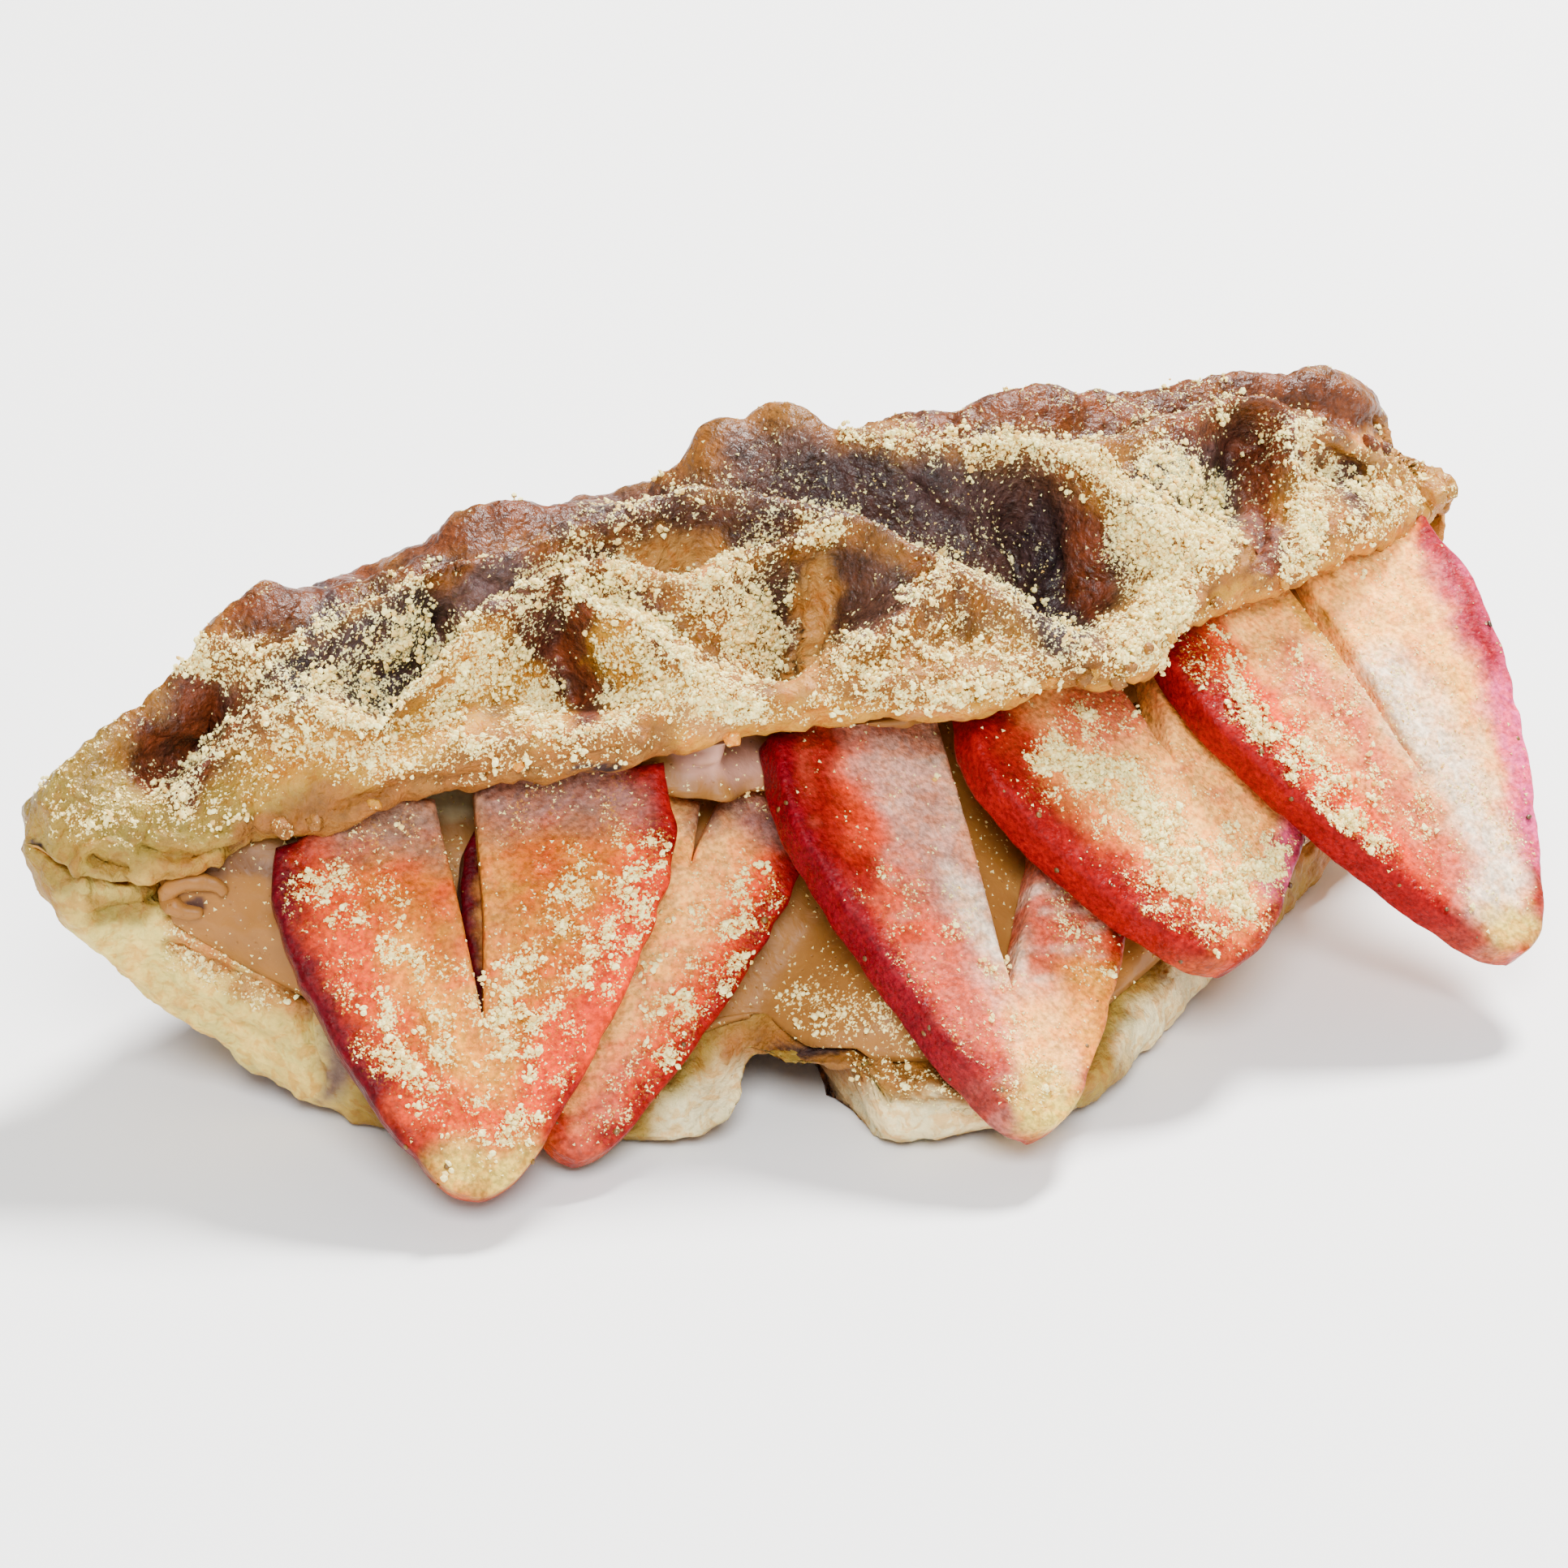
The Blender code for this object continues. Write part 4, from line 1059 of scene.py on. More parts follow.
def crust_material():
    """Browned dough: painted tone, mottling, sheen where bare, pale powder where covered."""
    g = Graph("crust")
    tone = g.attribute("tone", color=True)
    warm = g.span(g.noise(4.0, 3.0, 0.5), 0.35, 0.65)
    tone = g.mix(0.7, tone, g.mix(warm, CRUST_COOL, CRUST_WARM), "MULTIPLY")
    gray = g.node("RGBToBW")
    g.plug(tone, gray.inputs[0])
    light = gray.outputs[0]
    dark = g.span(light, 0.05, 0.16, 1.0, 0.25)
    toast = g.times(g.span(g.noise(1.2, 4.0, 0.6), 0.48, 0.62), g.span(light, 0.08, 0.2))
    tone = g.mix(g.times(toast, 0.75), tone, g.mix(1.0, tone, TOASTED, "MULTIPLY"))
    mottle = g.span(g.noise(2.6, 4.0, 0.4), 0.32, 0.68, -0.40, 0.25)
    speck = g.span(g.noise(0.5, 3.0), 0.3, 0.7, -0.28, 0.25)
    tone = g.shade(tone, g.plus(1.0, g.times(g.plus(mottle, speck), dark)))
    thin = g.mix(g.span(light, 0.02, 0.10), POWDER_COOL, POWDER_WARM)
    cover, powder, heap = powder_layer(g, CRUST_BODY.spread, thin)
    g.feed("Base Color", g.mix(cover, tone, powder))
    g.feed("Roughness", g.plus(g.attribute("rough"), g.times(cover, 0.5), clamp=True))
    blister = g.bump(g.noise(0.8, 4.0, 0.3), 0.5)
    g.feed("Normal", g.bump(heap, 1.1, 1.0, blister))
    g.set_body(CRUST_BODY)
    return g.material


def cream_material():
    """Soft tan cream with smears, tiny pores painted darker as shade, and a little powder."""
    g = Graph("cream")
    tone = g.attribute("tone", color=True)
    streak = g.span(g.noise(3.0, 3.0, 0.6), 0.3, 0.7)
    tone = g.mix(g.times(streak, 0.25), tone, rgba(COLORS["cream_dark"]))
    pores = g.span(g.cells(0.9), 0.0, 0.16)
    # Painted shade: the pores, which the bump sinks, are tinted darker.
    pore_shade = g.times(g.math("SUBTRACT", 1.0, pores), 0.25)
    tone = g.mix(pore_shade, tone, rgba(COLORS["cream_dark"], 0.8))
    cover, powder, _ = powder_layer(g, CREAM_BODY.spread)
    g.feed("Base Color", g.mix(cover, tone, powder))
    g.feed("Roughness", g.plus(0.42, g.times(cover, 0.45)))
    soft = g.bump(g.noise(1.6, 3.0, 0.4), 0.25, 0.7)
    g.feed("Normal", g.bump(pores, 0.12, 0.6, soft))
    g.set_body(CREAM_BODY)
    return g.material


FRUIT_DEEP = (1.0, 0.62, 0.34, 1.0)
FRUIT_FLECK = rgba(srgb(200, 132, 40))
SEED_DARK = rgba(srgb(52, 26, 10))
SEED_LIGHT = rgba(srgb(112, 78, 24))


def fruit_material():
    """Moist cut fruit: painted flesh and skin, fine cells, wet shine, powder on top."""
    g = Graph("fruit")
    tone = g.attribute("tone", color=True)
    fibre = g.span(g.noise(0.45, 3.0), 0.3, 0.7, 0.70, 1.30)
    blotch = g.span(g.noise(2.2, 3.0, 0.5), 0.35, 0.65, 0.86, 1.16)
    tone = g.shade(tone, g.times(fibre, blotch))
    orange = g.times(g.span(g.noise(1.3, 4.0, 0.8), 0.42, 0.62), 0.55)
    tone = g.mix(orange, tone, g.mix(1.0, tone, FRUIT_DEEP, "MULTIPLY"))
    dusted = g.span(g.attribute("dust"), 0.03, 0.20, 0.0, 0.55)
    fleck = g.times(g.span(g.noise(0.26), 0.52, 0.66), dusted)
    tone = g.mix(fleck, tone, FRUIT_FLECK)
    cover, powder, heap = powder_layer(g, FRUIT_BODY.spread)
    g.feed("Base Color", g.mix(cover, tone, powder))
    wet = g.span(g.noise(1.4), 0.35, 0.65, 0.35, 0.55)
    g.feed("Roughness", g.plus(wet, g.times(cover, 0.5), clamp=True))
    fine = g.bump(g.noise(0.5, 3.0), 0.22, 0.9, g.bump(g.cells(0.55), 0.10, 0.5))
    g.feed("Normal", g.bump(heap, 0.9, 1.0, fine))
    g.set_body(FRUIT_BODY)
    return g.material


def powder_material():
    """Dry, matt grains of ground soybean, pale to warm."""
    g = Graph("powder")
    g.feed("Specular IOR Level", 0.1)
    g.feed("Base Color", g.mix(g.attribute("shade"), POWDER_WARM, POWDER_LIGHT))
    g.feed("Roughness", g.span(g.noise(0.3), 0.3, 0.7, 0.8, 1.0))
    return g.material


def seed_material():
    """Small hard seeds, dark to straw brown."""
    g = Graph("seed")
    g.feed("Base Color", g.mix(g.attribute("shade"), SEED_DARK, SEED_LIGHT))
    g.feed("Roughness", g.span(g.noise(0.4), 0.3, 0.7, 0.35, 0.6))
    return g.material


# ---------------------------------------------------------------- pastry and cream
# The pastry's surface as it is painted: its points without and with relief, their arc length from the
# crown, the wells' depth there, and the arc lengths of the lip and of the lower jaw's front.
Crust = namedtuple("Crust", "plain grid q depth lip_q end_q")


def crust_color(crust, bake, inner, fine):
    """The dough's own tone: baked brown, darker in the wells, pale at the ends and inside."""
    _, grid, q, depth, lip_q, end_q = crust
    x = grid[:, :, 0]
    blotch = rough_noise(crust.plain, 9.0, 11)
    return lay_all(np.zeros(grid.shape) + COLORS["pale"], (
        ("amber", bake * (0.75 + 0.25 * blotch)),
        ("brown", bake * ramp(depth + 1.2 * fine, 0.6, 3.2) * 0.85),
        ("umber", bake * ramp(depth + 0.8 * blotch, 2.2, 4.5) * 0.7),
        ("rust", bake * ramp(blotch, 0.2, 0.9) * 0.5),
        ("raw_and_shade", ramp(-x + 3.0 * fine, 54.0, 64.0) * 0.85),
        ("raw_and_shade", (1.0 - ramp(end_q - q, 3.0, 12.0)) * 0.9 * ramp(q, 30.0, 60.0)),
        ("tan", (1.0 - ramp(q, lip_q + 0.5, lip_q + 4.5)) * ramp(x, -52.0, -46.0) * (q < 0)),
        ("pale", inner * 0.8),
    ))


def crust_cover(crust, normal, top_side, seen):
    """How much powder lies on the pastry."""
    q = crust.q
    up = normal[:, :, 2]
    cover = 0.20 * np.clip(up, 0.0, 1.0) * ramp(-q, -14.0, 6.0) * top_side
    cover = dust(cover, crust.grid, seen, CRUST_POWDER)
    bare_wall = ramp(-normal[:, :, 0], 0.35, 0.75)
    cover = cover * ramp(up, -0.45, 0.10) * (1.0 - 0.35 * bare_wall)
    cover = cover * (1.0 - ramp(q, 5.0, 11.0) * ramp(crust.end_q - q, 16.0, 22.0))
    return cover * cluster(crust.grid, 2.0, 83, 0.75, 1.3)


def crust_tone(crust):
    """Tone, roughness and powder cover of the pastry at every grid point."""
    plain, grid, q, _, lip_q, end_q = crust
    normal = grid_normals(grid)
    index = np.arange(grid.shape[1])[None, :]
    inner = (index < sum(SKIN_STEPS[:EDGE_POINT])) | (index > sum(SKIN_STEPS[:FLOOR_POINT]))
    top_side = ramp(q, lip_q, lip_q + 9.0)
    bake = top_side * (1.0 - ramp(q, end_q - 14.0, end_q - 3.0))
    behind = ramp(q, 12.0, 18.0) * ramp(end_q - q, 16.0, 22.0)
    seen = ramp(normal @ BACKWARD, -0.05, 0.15) * (~inner) * (1.0 - behind)
    fine = rough_noise(plain, 2.5, 12)
    color = paint(crust_color(crust, bake, inner, fine), grid, seen, CRUST_MARKS)
    color *= (1.0 + 0.10 * fine)[..., None]
    cover = crust_cover(crust, normal, top_side, seen)
    rough = 0.60 - 0.24 * bake + 0.05 * fine
    return np.clip(color, 0.0, 1.0), np.clip(rough, 0.2, 0.9), np.clip(cover, 0.0, 1.0)


def crust_relief(plain, q, lip_q, depth):
    """How far the skin sinks: wells, blisters and crumbs, which are coarsest along the lip."""
    blisters = BLISTER_HEIGHT * rough_noise(plain, 4.5, 21) * ramp(q, lip_q - 4.0, lip_q + 4.0)
    near_lip = ramp(q, lip_q - 2.0, lip_q + 1.0) * (1.0 - ramp(q, lip_q + 4.0, lip_q + 10.0))
    near_lip = near_lip * ramp(plain[:, :, 0], -12.0, 4.0)
    crumbs = (CRUMB_HEIGHT + LIP_CRUMB_HEIGHT * near_lip) * rough_noise(plain, 1.2, 22)
    return depth + blisters + crumbs


def build_pastry(material):
    """The pastry's skin with its relief and colours.  Gives a surface to scatter powder on."""
    plain = pastry_base(SKIN_SECTIONS, SKIN_STEPS)
    q = ring_length(plain, SKIN_STEPS)
    lip_index = sum(SKIN_STEPS[:LIP_POINT])
    end_index = sum(SKIN_STEPS[:JAW_POINT])
    lip_q = q[:, lip_index:lip_index + 1]
    end_q = q[:, end_index:end_index + 1]
    index = np.arange(plain.shape[1])[None, :]
    outer = (index >= lip_index) & (index <= end_index)
    depth = well_depth(plain, q, lip_q, end_q) * outer
    relief = crust_relief(plain, q, lip_q, depth)
    grid = press_dents(hang_lip(plain - grid_normals(plain) * relief[:, :, None]))
    color, rough, cover = crust_tone(Crust(plain, grid, q, depth, lip_q, end_q))
    heaps = ramp(rough_noise(grid, 1.1, 25, 2), 0.0, 0.8) * cover
    grid = grid + grid_normals(grid) * (POWDER_HEIGHT * heaps)[:, :, None]
    grid[:, :, 2] = np.maximum(grid[:, :, 2], 0.0)
    n, m = q.shape
    tips = [(-HALF_LENGTH,) + LEFT_TIP, (HALF_LENGTH,) + RIGHT_TIP]
    verts = np.concatenate([grid.reshape(-1, 3), tips])
    ends = np.stack([color[0].mean(axis=0), color[-1].mean(axis=0)])
    values = {
        "tone": np.concatenate([color.reshape(-1, 3), ends]),
        "rough": np.append(rough.ravel(), [0.5, 0.5]),
        "dust": np.append(cover.ravel(), [0.0, 0.0]),
    }
    add_piece("pastry_skin", verts, tube_faces(n, m), material, values, "pastry")
    return verts, tube_triangles(n, m), values["dust"]


def mouth_walls(x):
    """The mouth's floor, then its roof, from the front in and out again, at each x.

    Gives the sections and how many points of each are floor.
    """
    plain = pastry_base(MOUTH_SECTIONS, MOUTH_STEPS)
    floor = plain[:, sum(MOUTH_STEPS[:SILL_POINT]):]
    roof = plain[:, :sum(MOUTH_STEPS[:EDGE_POINT]) + 1]
    walls = np.concatenate([floor, roof], axis=1)
    place = np.interp(x, plain[:, 0, 0], np.arange(MOUTH_SECTIONS))
    k = np.minimum(place.astype(int), MOUTH_SECTIONS - 2)
    w = (place - k)[:, None, None]
    return walls[k] * (1.0 - w) + walls[k + 1] * w, floor.shape[1]


def keep_in_mouth(grid, walls, floor_count):
    """Keeps the cream off the mouth's floor and roof."""
    for section, wall in zip(grid, walls):
        floor = wall[:floor_count]
        roof = wall[floor_count:][::-1]
        low_z = np.interp(section[:, 1], floor[:, 1], floor[:, 2]) + CREAM_GAP
        top_z = np.interp(section[:, 1], roof[:, 1], roof[:, 2]) - CREAM_GAP
        over_floor = section[:, 1] > floor[0, 1]
        section[:, 2] = np.where(over_floor, np.maximum(section[:, 2], low_z), section[:, 2])
        under_roof = section[:, 1] > roof[0, 1]
        section[:, 2] = np.where(under_roof, np.minimum(section[:, 2], top_z), section[:, 2])


def cream_grid():
    """Cream filling the mouth, its front face pressed in behind each slice.

    Gives the grid and the first column of that face.
    """
    x = np.linspace(CREAM_RANGE[0], CREAM_RANGE[1], CREAM_SECTIONS + 2)[1:-1]
    walls, floor_count = mouth_walls(x)
    tangent = np.gradient(walls[:, :, 1:], axis=1)
    tangent /= np.maximum(np.linalg.norm(tangent, axis=2, keepdims=True), 1e-9)
    inset = walls.copy()
    inset[:, :, 1] -= tangent[:, :, 1] * CREAM_GAP
    inset[:, :, 2] += tangent[:, :, 0] * CREAM_GAP
    bulge = curve(CREAM_BULGE, x)
    front = []
    for j in range(1, CREAM_FRONT_STEPS):
        s = j / CREAM_FRONT_STEPS
        p = inset[:, -1] * (1.0 - s) + inset[:, 0] * s
        p[:, 1] -= bulge * math.sin(math.pi * s ** 1.5)
        front.append(p)
    grid = np.concatenate([inset, np.stack(front, axis=1)], axis=1)
    first_front = inset.shape[1]
    for _ in range(CREAM_TURNS):
        smooth(grid[:, first_front:], CREAM_SMOOTHING)
        for record in SLICES.values():
            grid = push_behind(grid, record, CREAM_MARGIN, CREAM_FADE, FACE_GAP)
        keep_in_mouth(grid, walls, floor_count)
    return grid, first_front


CREAM_MARKS = (
    # Painted shade, the upper lip's shadow on the cream under it.
    ("cream_dark", 26, 0.8, ((200, 1075), (300, 1060), (340, 1070))),
    ("white", 26, 0.9, ((440, 995), (560, 985))),
    ("milk", 40, 0.8, ((840, 930), (930, 940))),
    ("cream_dark", 30, 0.8, ((545, 1100), (580, 1200), (595, 1260))),
    ("torn_and_shade", 26, 0.7, ((1260, 1090), (1268, 1150), (1262, 1200))),
    ("cream_dark", 30, 0.9, ((1600, 1000), (1640, 1100))),
    ("umber", 10, 0.5, ((236, 1114), (252, 1116))),
)
CREAM_POWDER = (
    (0.10, 60, 0.9, ((1170, 960), (1220, 1010), (1250, 1060))),
    (0.35, 60, 0.9, ((1000, 1240), (1100, 1260), (1180, 1320))),
    (0.25, 50, 0.9, ((540, 1060), (560, 1120))),
)
CREAM_DUST = 0.06
# The smears run along X, so their noise is drawn out that way.
SMEAR_STRETCH = (0.45, 1.0, 1.0)


def build_cream(material):
    """The cream with its smeared front.  Gives a surface to scatter powder on."""
    grid, first_front = cream_grid()
    smear = grid * np.array(SMEAR_STRETCH)
    lift = 0.45 * rough_noise(smear, 4.0, 41) + 0.12 * rough_noise(grid, 1.0, 42, 2)
    face = np.zeros(grid.shape[1])
    face[first_front:] = np.sin(np.linspace(0.0, math.pi, grid.shape[1] - first_front))
    grid[:, :, 1] += lift * face[None, :]
    grid = grid[:, ::-1]
    seen = ramp(grid_normals(grid) @ BACKWARD, -0.1, 0.1)
    color = paint(np.zeros(grid.shape) + COLORS["cream"], grid, seen, CREAM_MARKS)
    color *= (1.0 + 0.08 * rough_noise(grid, 3.0, 43))[..., None]
    cover = dust(np.full(grid.shape[:2], CREAM_DUST), grid, seen, CREAM_POWDER)
    first = grid[0].mean(axis=0)
    last = grid[-1].mean(axis=0)
    first[0] = CREAM_RANGE[0]
    last[0] = CREAM_RANGE[1]
    n, m = grid.shape[:2]
    verts = np.concatenate([grid.reshape(-1, 3), [first, last]])
    values = {
        "tone": np.concatenate([np.clip(color, 0.0, 1.0).reshape(-1, 3), [COLORS["cream"]] * 2]),
        "dust": np.append(cover.ravel(), [0.0, 0.0]),
    }
    add_piece("cream_fill", verts, tube_faces(n, m), material, values, "cream")
    return verts, tube_triangles(n, m), values["dust"]


# ---------------------------------------------------------------- cut fruit
def slice_side(record, t, side):
    """Outer and inner edge of one half of the outline at t, as fractions of the half width."""
    outer = slice_width(t)
    if side < 0:
        outer = outer * (1.0 + record.bulge * math.sin(math.pi * t))
    opening = record.open_left if side < 0 else record.open_right
    gap = opening * max(t - record.split, 0.0) / (1.0 - record.split)
    return side * outer, record.lean * t + side * gap


def slice_grid(record):
    """Flat places (across, along) of a slice's rows and columns, by side, and the notch's first row."""
    t = 0.004 + 0.996 * (np.arange(SLICE_ROWS + 1) / SLICE_ROWS) ** 1.25
    c = 0.5 - 0.5 * np.cos(math.pi * np.arange(SLICE_COLUMNS + 1) / SLICE_COLUMNS)
    rise = 0.05 * np.sin(math.pi * np.minimum(c * 1.15, 1.0)) - 0.03 * c
    halves = {}
    for side in SIDES:
        edge = np.array([slice_side(record, level, side) for level in t])
        outer = edge[:, 0][:, None]
        inner = np.where(t < record.split, record.lean * t, edge[:, 1])[:, None]
        across = inner + (outer - inner) * c[None, :]
        along = t[:, None] + rise[None, :] * t[:, None] ** 5
        halves[side] = np.stack([across, along], axis=-1)
    split = int(np.argmin(np.abs(t - record.split)))
    return halves, split


# Fruit colours: skin at the left and right edge, flesh from the top down, how far the red of each edge
# runs in, in millimetres, and the veins.
Look = namedtuple("Look", "left_skin right_skin upper middle lower left_reach right_reach "
                          "light_vein dark_vein")
FRUIT_LOOKS = {
    "strawberry_1": Look("skin", "red", "flesh", "flesh", "flesh", 8.0, 6.5, "gold", "orange"),
    "strawberry_2": Look("skin", "crimson", "heart", "heart", "heart", 1.0, 7.0, "honey", "pink"),
    "strawberry_3": Look("crimson", "red", "milk", "pink", "ivory", 8.0, 2.6, "ivory", "pink"),
    "strawberry_4": Look("red", "skin", "heart", "heart", "heart", 8.0, 3.5, "honey", "pink"),
    "strawberry_5": Look("red", "red", "heart", "heart", "ivory", 7.0, 4.0, "honey", "pink"),
}
# Widths of the skin's own colour at the left and right edge, in millimetres.
SKIN_BANDS = {-1: 2.8, 1: 2.3}
FRUIT_MARK_GAIN = 0.9
FRUIT_DUST = 0.03
RIM_WAVE = 0.030
FACE_WOBBLE = 0.8
FRUIT_MARKS = {
    "strawberry_1": (
        # The first two marks are painted shade, the upper lip's shadow on the slice's top.
        ("smear_and_shade", 84, 0.9, ((430, 1010), (530, 1010))),
        ("lip_shadow", 84, 0.9, ((620, 980), (760, 970))),
        ("red", 34, 0.8, ((790, 945), (830, 960), (836, 1040))),
        ("ember", 60, 1.0, ((800, 1090), (770, 1200), (720, 1290))),
        ("orange", 60, 1.0, ((420, 1130), (460, 1200))),
        ("orange", 60, 1.0, ((520, 1370), (640, 1380))),
        ("honey", 50, 1.0, ((500, 1180), (560, 1280), (600, 1330))),
        ("ember", 44, 0.9, ((660, 1340), (700, 1270))),
        ("tip", 56, 0.9, ((560, 1440), (640, 1440))),
    ),
    "strawberry_2": (
        # The first mark is painted shade, the upper lip's shadow on the slice's top.
        ("lip_shadow", 60, 0.9, ((870, 990), (920, 990), (970, 1020))),
        ("pink", 50, 1.0, ((730, 1400), (770, 1320))),
        ("ember", 40, 1.0, ((946, 1080), (898, 1180), (848, 1260), (788, 1350))),
        ("red", 32, 0.9, ((975, 1060), (935, 1150), (885, 1240), (815, 1330), (750, 1410))),
    ),
    "strawberry_3": (
        ("red", 40, 0.8, ((1010, 930), (1020, 990), (1060, 1080))),
        ("ember", 40, 1.0, ((1050, 960), (1070, 1030))),
        ("milk", 60, 1.0, ((1100, 930), (1140, 1020), (1180, 1080))),
        ("ivory", 46, 1.0, ((1190, 1100), (1240, 1170))),
        ("pink", 50, 1.0, ((1160, 1180), (1200, 1260))),
        ("heart", 56, 0.9, ((1280, 1250), (1290, 1310))),
        ("honey", 60, 1.0, ((1340, 1210), (1330, 1280))),
        ("ember", 30, 1.0, ((1410, 1200), (1380, 1290))),
        ("tip", 50, 0.9, ((1280, 1340), (1290, 1380), (1310, 1370))),
    ),
    "strawberry_4": (
        ("red", 56, 0.9, ((1230, 880), (1260, 960), (1320, 1050), (1420, 1130), (1480, 1160))),
        ("pink", 70, 0.9, ((1320, 890), (1400, 870))),
        ("heart", 60, 1.0, ((1400, 950), (1480, 1040))),
        ("magenta", 30, 1.0, ((1590, 1000), (1570, 1090))),
    ),
    "strawberry_5": (
        ("red", 46, 0.8, ((1470, 800), (1540, 880), (1600, 950), (1670, 1020), (1790, 1120))),
        ("ember", 30, 0.9, ((1500, 790), (1560, 870), (1630, 950), (1690, 1010), (1800, 1100))),
        ("red", 22, 0.9, ((1440, 780), (1510, 870), (1580, 950), (1650, 1030))),
        ("heart", 70, 0.9, ((1680, 700), (1720, 760))),
        ("gold", 22, 0.9, ((1600, 745), (1680, 840), (1760, 940), (1790, 985))),
        ("ivory", 60, 1.0, ((1700, 830), (1770, 910), (1810, 1000), (1840, 1100))),
        ("pink", 50, 1.0, ((1600, 820), (1660, 890), (1740, 1000), (1790, 1070))),
        ("magenta", 44, 0.9, ((1780, 680), (1830, 800), (1866, 920), (1896, 1050))),
        ("red", 36, 1.0, ((1770, 665), (1806, 740), (1832, 810))),
        ("tip", 40, 1.0, ((1850, 1140), (1880, 1150))),
    ),
}
FRUIT_POWDER = {
    "strawberry_1": (
        (0.30, 90, 1.0, ((450, 1120), (560, 1250), (640, 1330), (700, 1150), (760, 1060))),
        (0.09, 60, 0.9, ((450, 1040), (560, 1010), (740, 970))),
        (0.28, 60, 0.9, ((400, 1100), (460, 1230), (540, 1300))),
        (0.38, 60, 0.9, ((480, 1300), (560, 1360), (640, 1240), (700, 1180), (600, 1420))),
        (0.31, 50, 0.9, ((700, 1100), (800, 1060), (760, 1200))),
    ),
    "strawberry_2": (
        (0.30, 70, 1.0, ((900, 1100), (820, 1250))),
        (0.06, 50, 0.9, ((880, 990), (960, 1010))),
        (0.34, 50, 0.9, ((880, 1090), (940, 1120), (850, 1250), (760, 1380))),
    ),
    "strawberry_3": (
        (0.18, 80, 1.0, ((1140, 1130), (1260, 1330))),
        (0.05, 60, 0.9, ((1060, 930), (1140, 1000))),
        (0.06, 50, 0.9, ((1060, 1080), (1160, 1200), (1230, 1300))),
        (0.22, 50, 0.9, ((1320, 1120), (1360, 1180))),
    ),
    "strawberry_4": (
        (0.24, 100, 1.0, ((1340, 930), (1490, 1080))),
        (0.55, 56, 0.9, ((1300, 940), (1370, 980), (1450, 1060), (1560, 1050), (1540, 1120), (1450, 1110))),
        (0.40, 40, 0.9, ((1340, 890), (1390, 950))),
        (0.09, 50, 0.9, ((1380, 880), (1460, 940))),
    ),
    "strawberry_5": (
        (0.16, 120, 1.0, ((1620, 830), (1800, 1040))),
        (0.42, 40, 0.9, ((1480, 800), (1560, 890), (1640, 980), (1700, 1030))),
        (0.09, 80, 0.9, ((1700, 720), (1760, 900), (1860, 1050))),
    ),
}


def slice_spots(name, record, grid, side):
    """Places of one half on the slice's front plane, waved at the rim and bent back under the lip."""
    tip, length, half, _ = slice_axes(record)
    long = np.linalg.norm(length)
    t = grid[..., 1]
    wave = noise(np.stack([t * long, 0 * t, 0 * t + side], axis=-1), 1.6, 55)
    across = grid[..., 0] * (1.0 + RIM_WAVE * wave * (t < 0.97))
    spot = tip + t[..., None] * length + across[..., None] * half
    tuck, bend = SLICE_TUCK[name]
    upper = ramp(t, 0.72, 1.02)[..., None]
    return spot + upper * (tuck * length / long + np.array((0.0, bend, 0.0)))


def edge_distances(flat, halves, scale, edge):
    """Distance from flat places to the same edge of each half, by side."""
    return {side: line_distance(flat[..., 0], flat[..., 1], grid[edge] * scale)
            for side, grid in halves.items()}


def rounded_drop(edges):
    """How far a face drops near its edges; an edge is (distance, radius)."""
    drop = 0.0
    for away, radius in edges:
        near = np.clip(1.0 - away / radius, 0.0, 1.0)
        drop = np.maximum(drop, radius * (1.0 - np.sqrt(1.0 - near ** 2)))
    return drop


def flesh_tone(look, lean, grid, flat, skins, spot, side):
    """Tone of one half: flesh with veins, then the reds that run in from the skin."""
    t = grid[..., 1]
    fine = rough_noise(spot, 2.0, 53)
    centre = np.abs(grid[..., 0] - lean * t)
    veins = noise(np.stack([flat[..., 0] / 3.0, flat[..., 1] / 0.9, 0 * t + side], axis=-1), 1.0, 56)
    color = lay_all(np.zeros(spot.shape) + COLORS[look.middle], (
        (look.upper, ramp(t + 0.06 * fine, 0.45, 0.9)),
        (look.lower, 1.0 - ramp(t + 0.05 * fine, 0.08, 0.42)),
        ("heart", (1.0 - ramp(centre, 0.0, 0.22)) * 0.3),
        (look.light_vein, ramp(veins + 0.5 * fine, 0.1, 1.1) * 0.5),
        (look.dark_vein, ramp(-veins - 0.5 * fine, 0.1, 1.1) * 0.6),
    ))
    fade = 1.0 - 0.45 * (1.0 - ramp(t, 0.0, 0.25))
    for s, tone, reach in ((-1, look.left_skin, look.left_reach), (1, look.right_skin, look.right_reach)):
        away = skins[s] + 0.8 * fine + 0.7 * veins
        rim = skins[s] + 0.25 * fine + 0.5 * veins
        color = lay_all(color, (
            ("orange", (1.0 - ramp(away, 0.35 * reach, 1.15 * reach)) * 0.85 * fade),
            ("red", (1.0 - ramp(away, 0.15 * reach, 0.7 * reach)) * 0.85 * fade),
            (tone, (1.0 - ramp(rim, 0.7, SKIN_BANDS[s])) * fade),
        ))
    return color


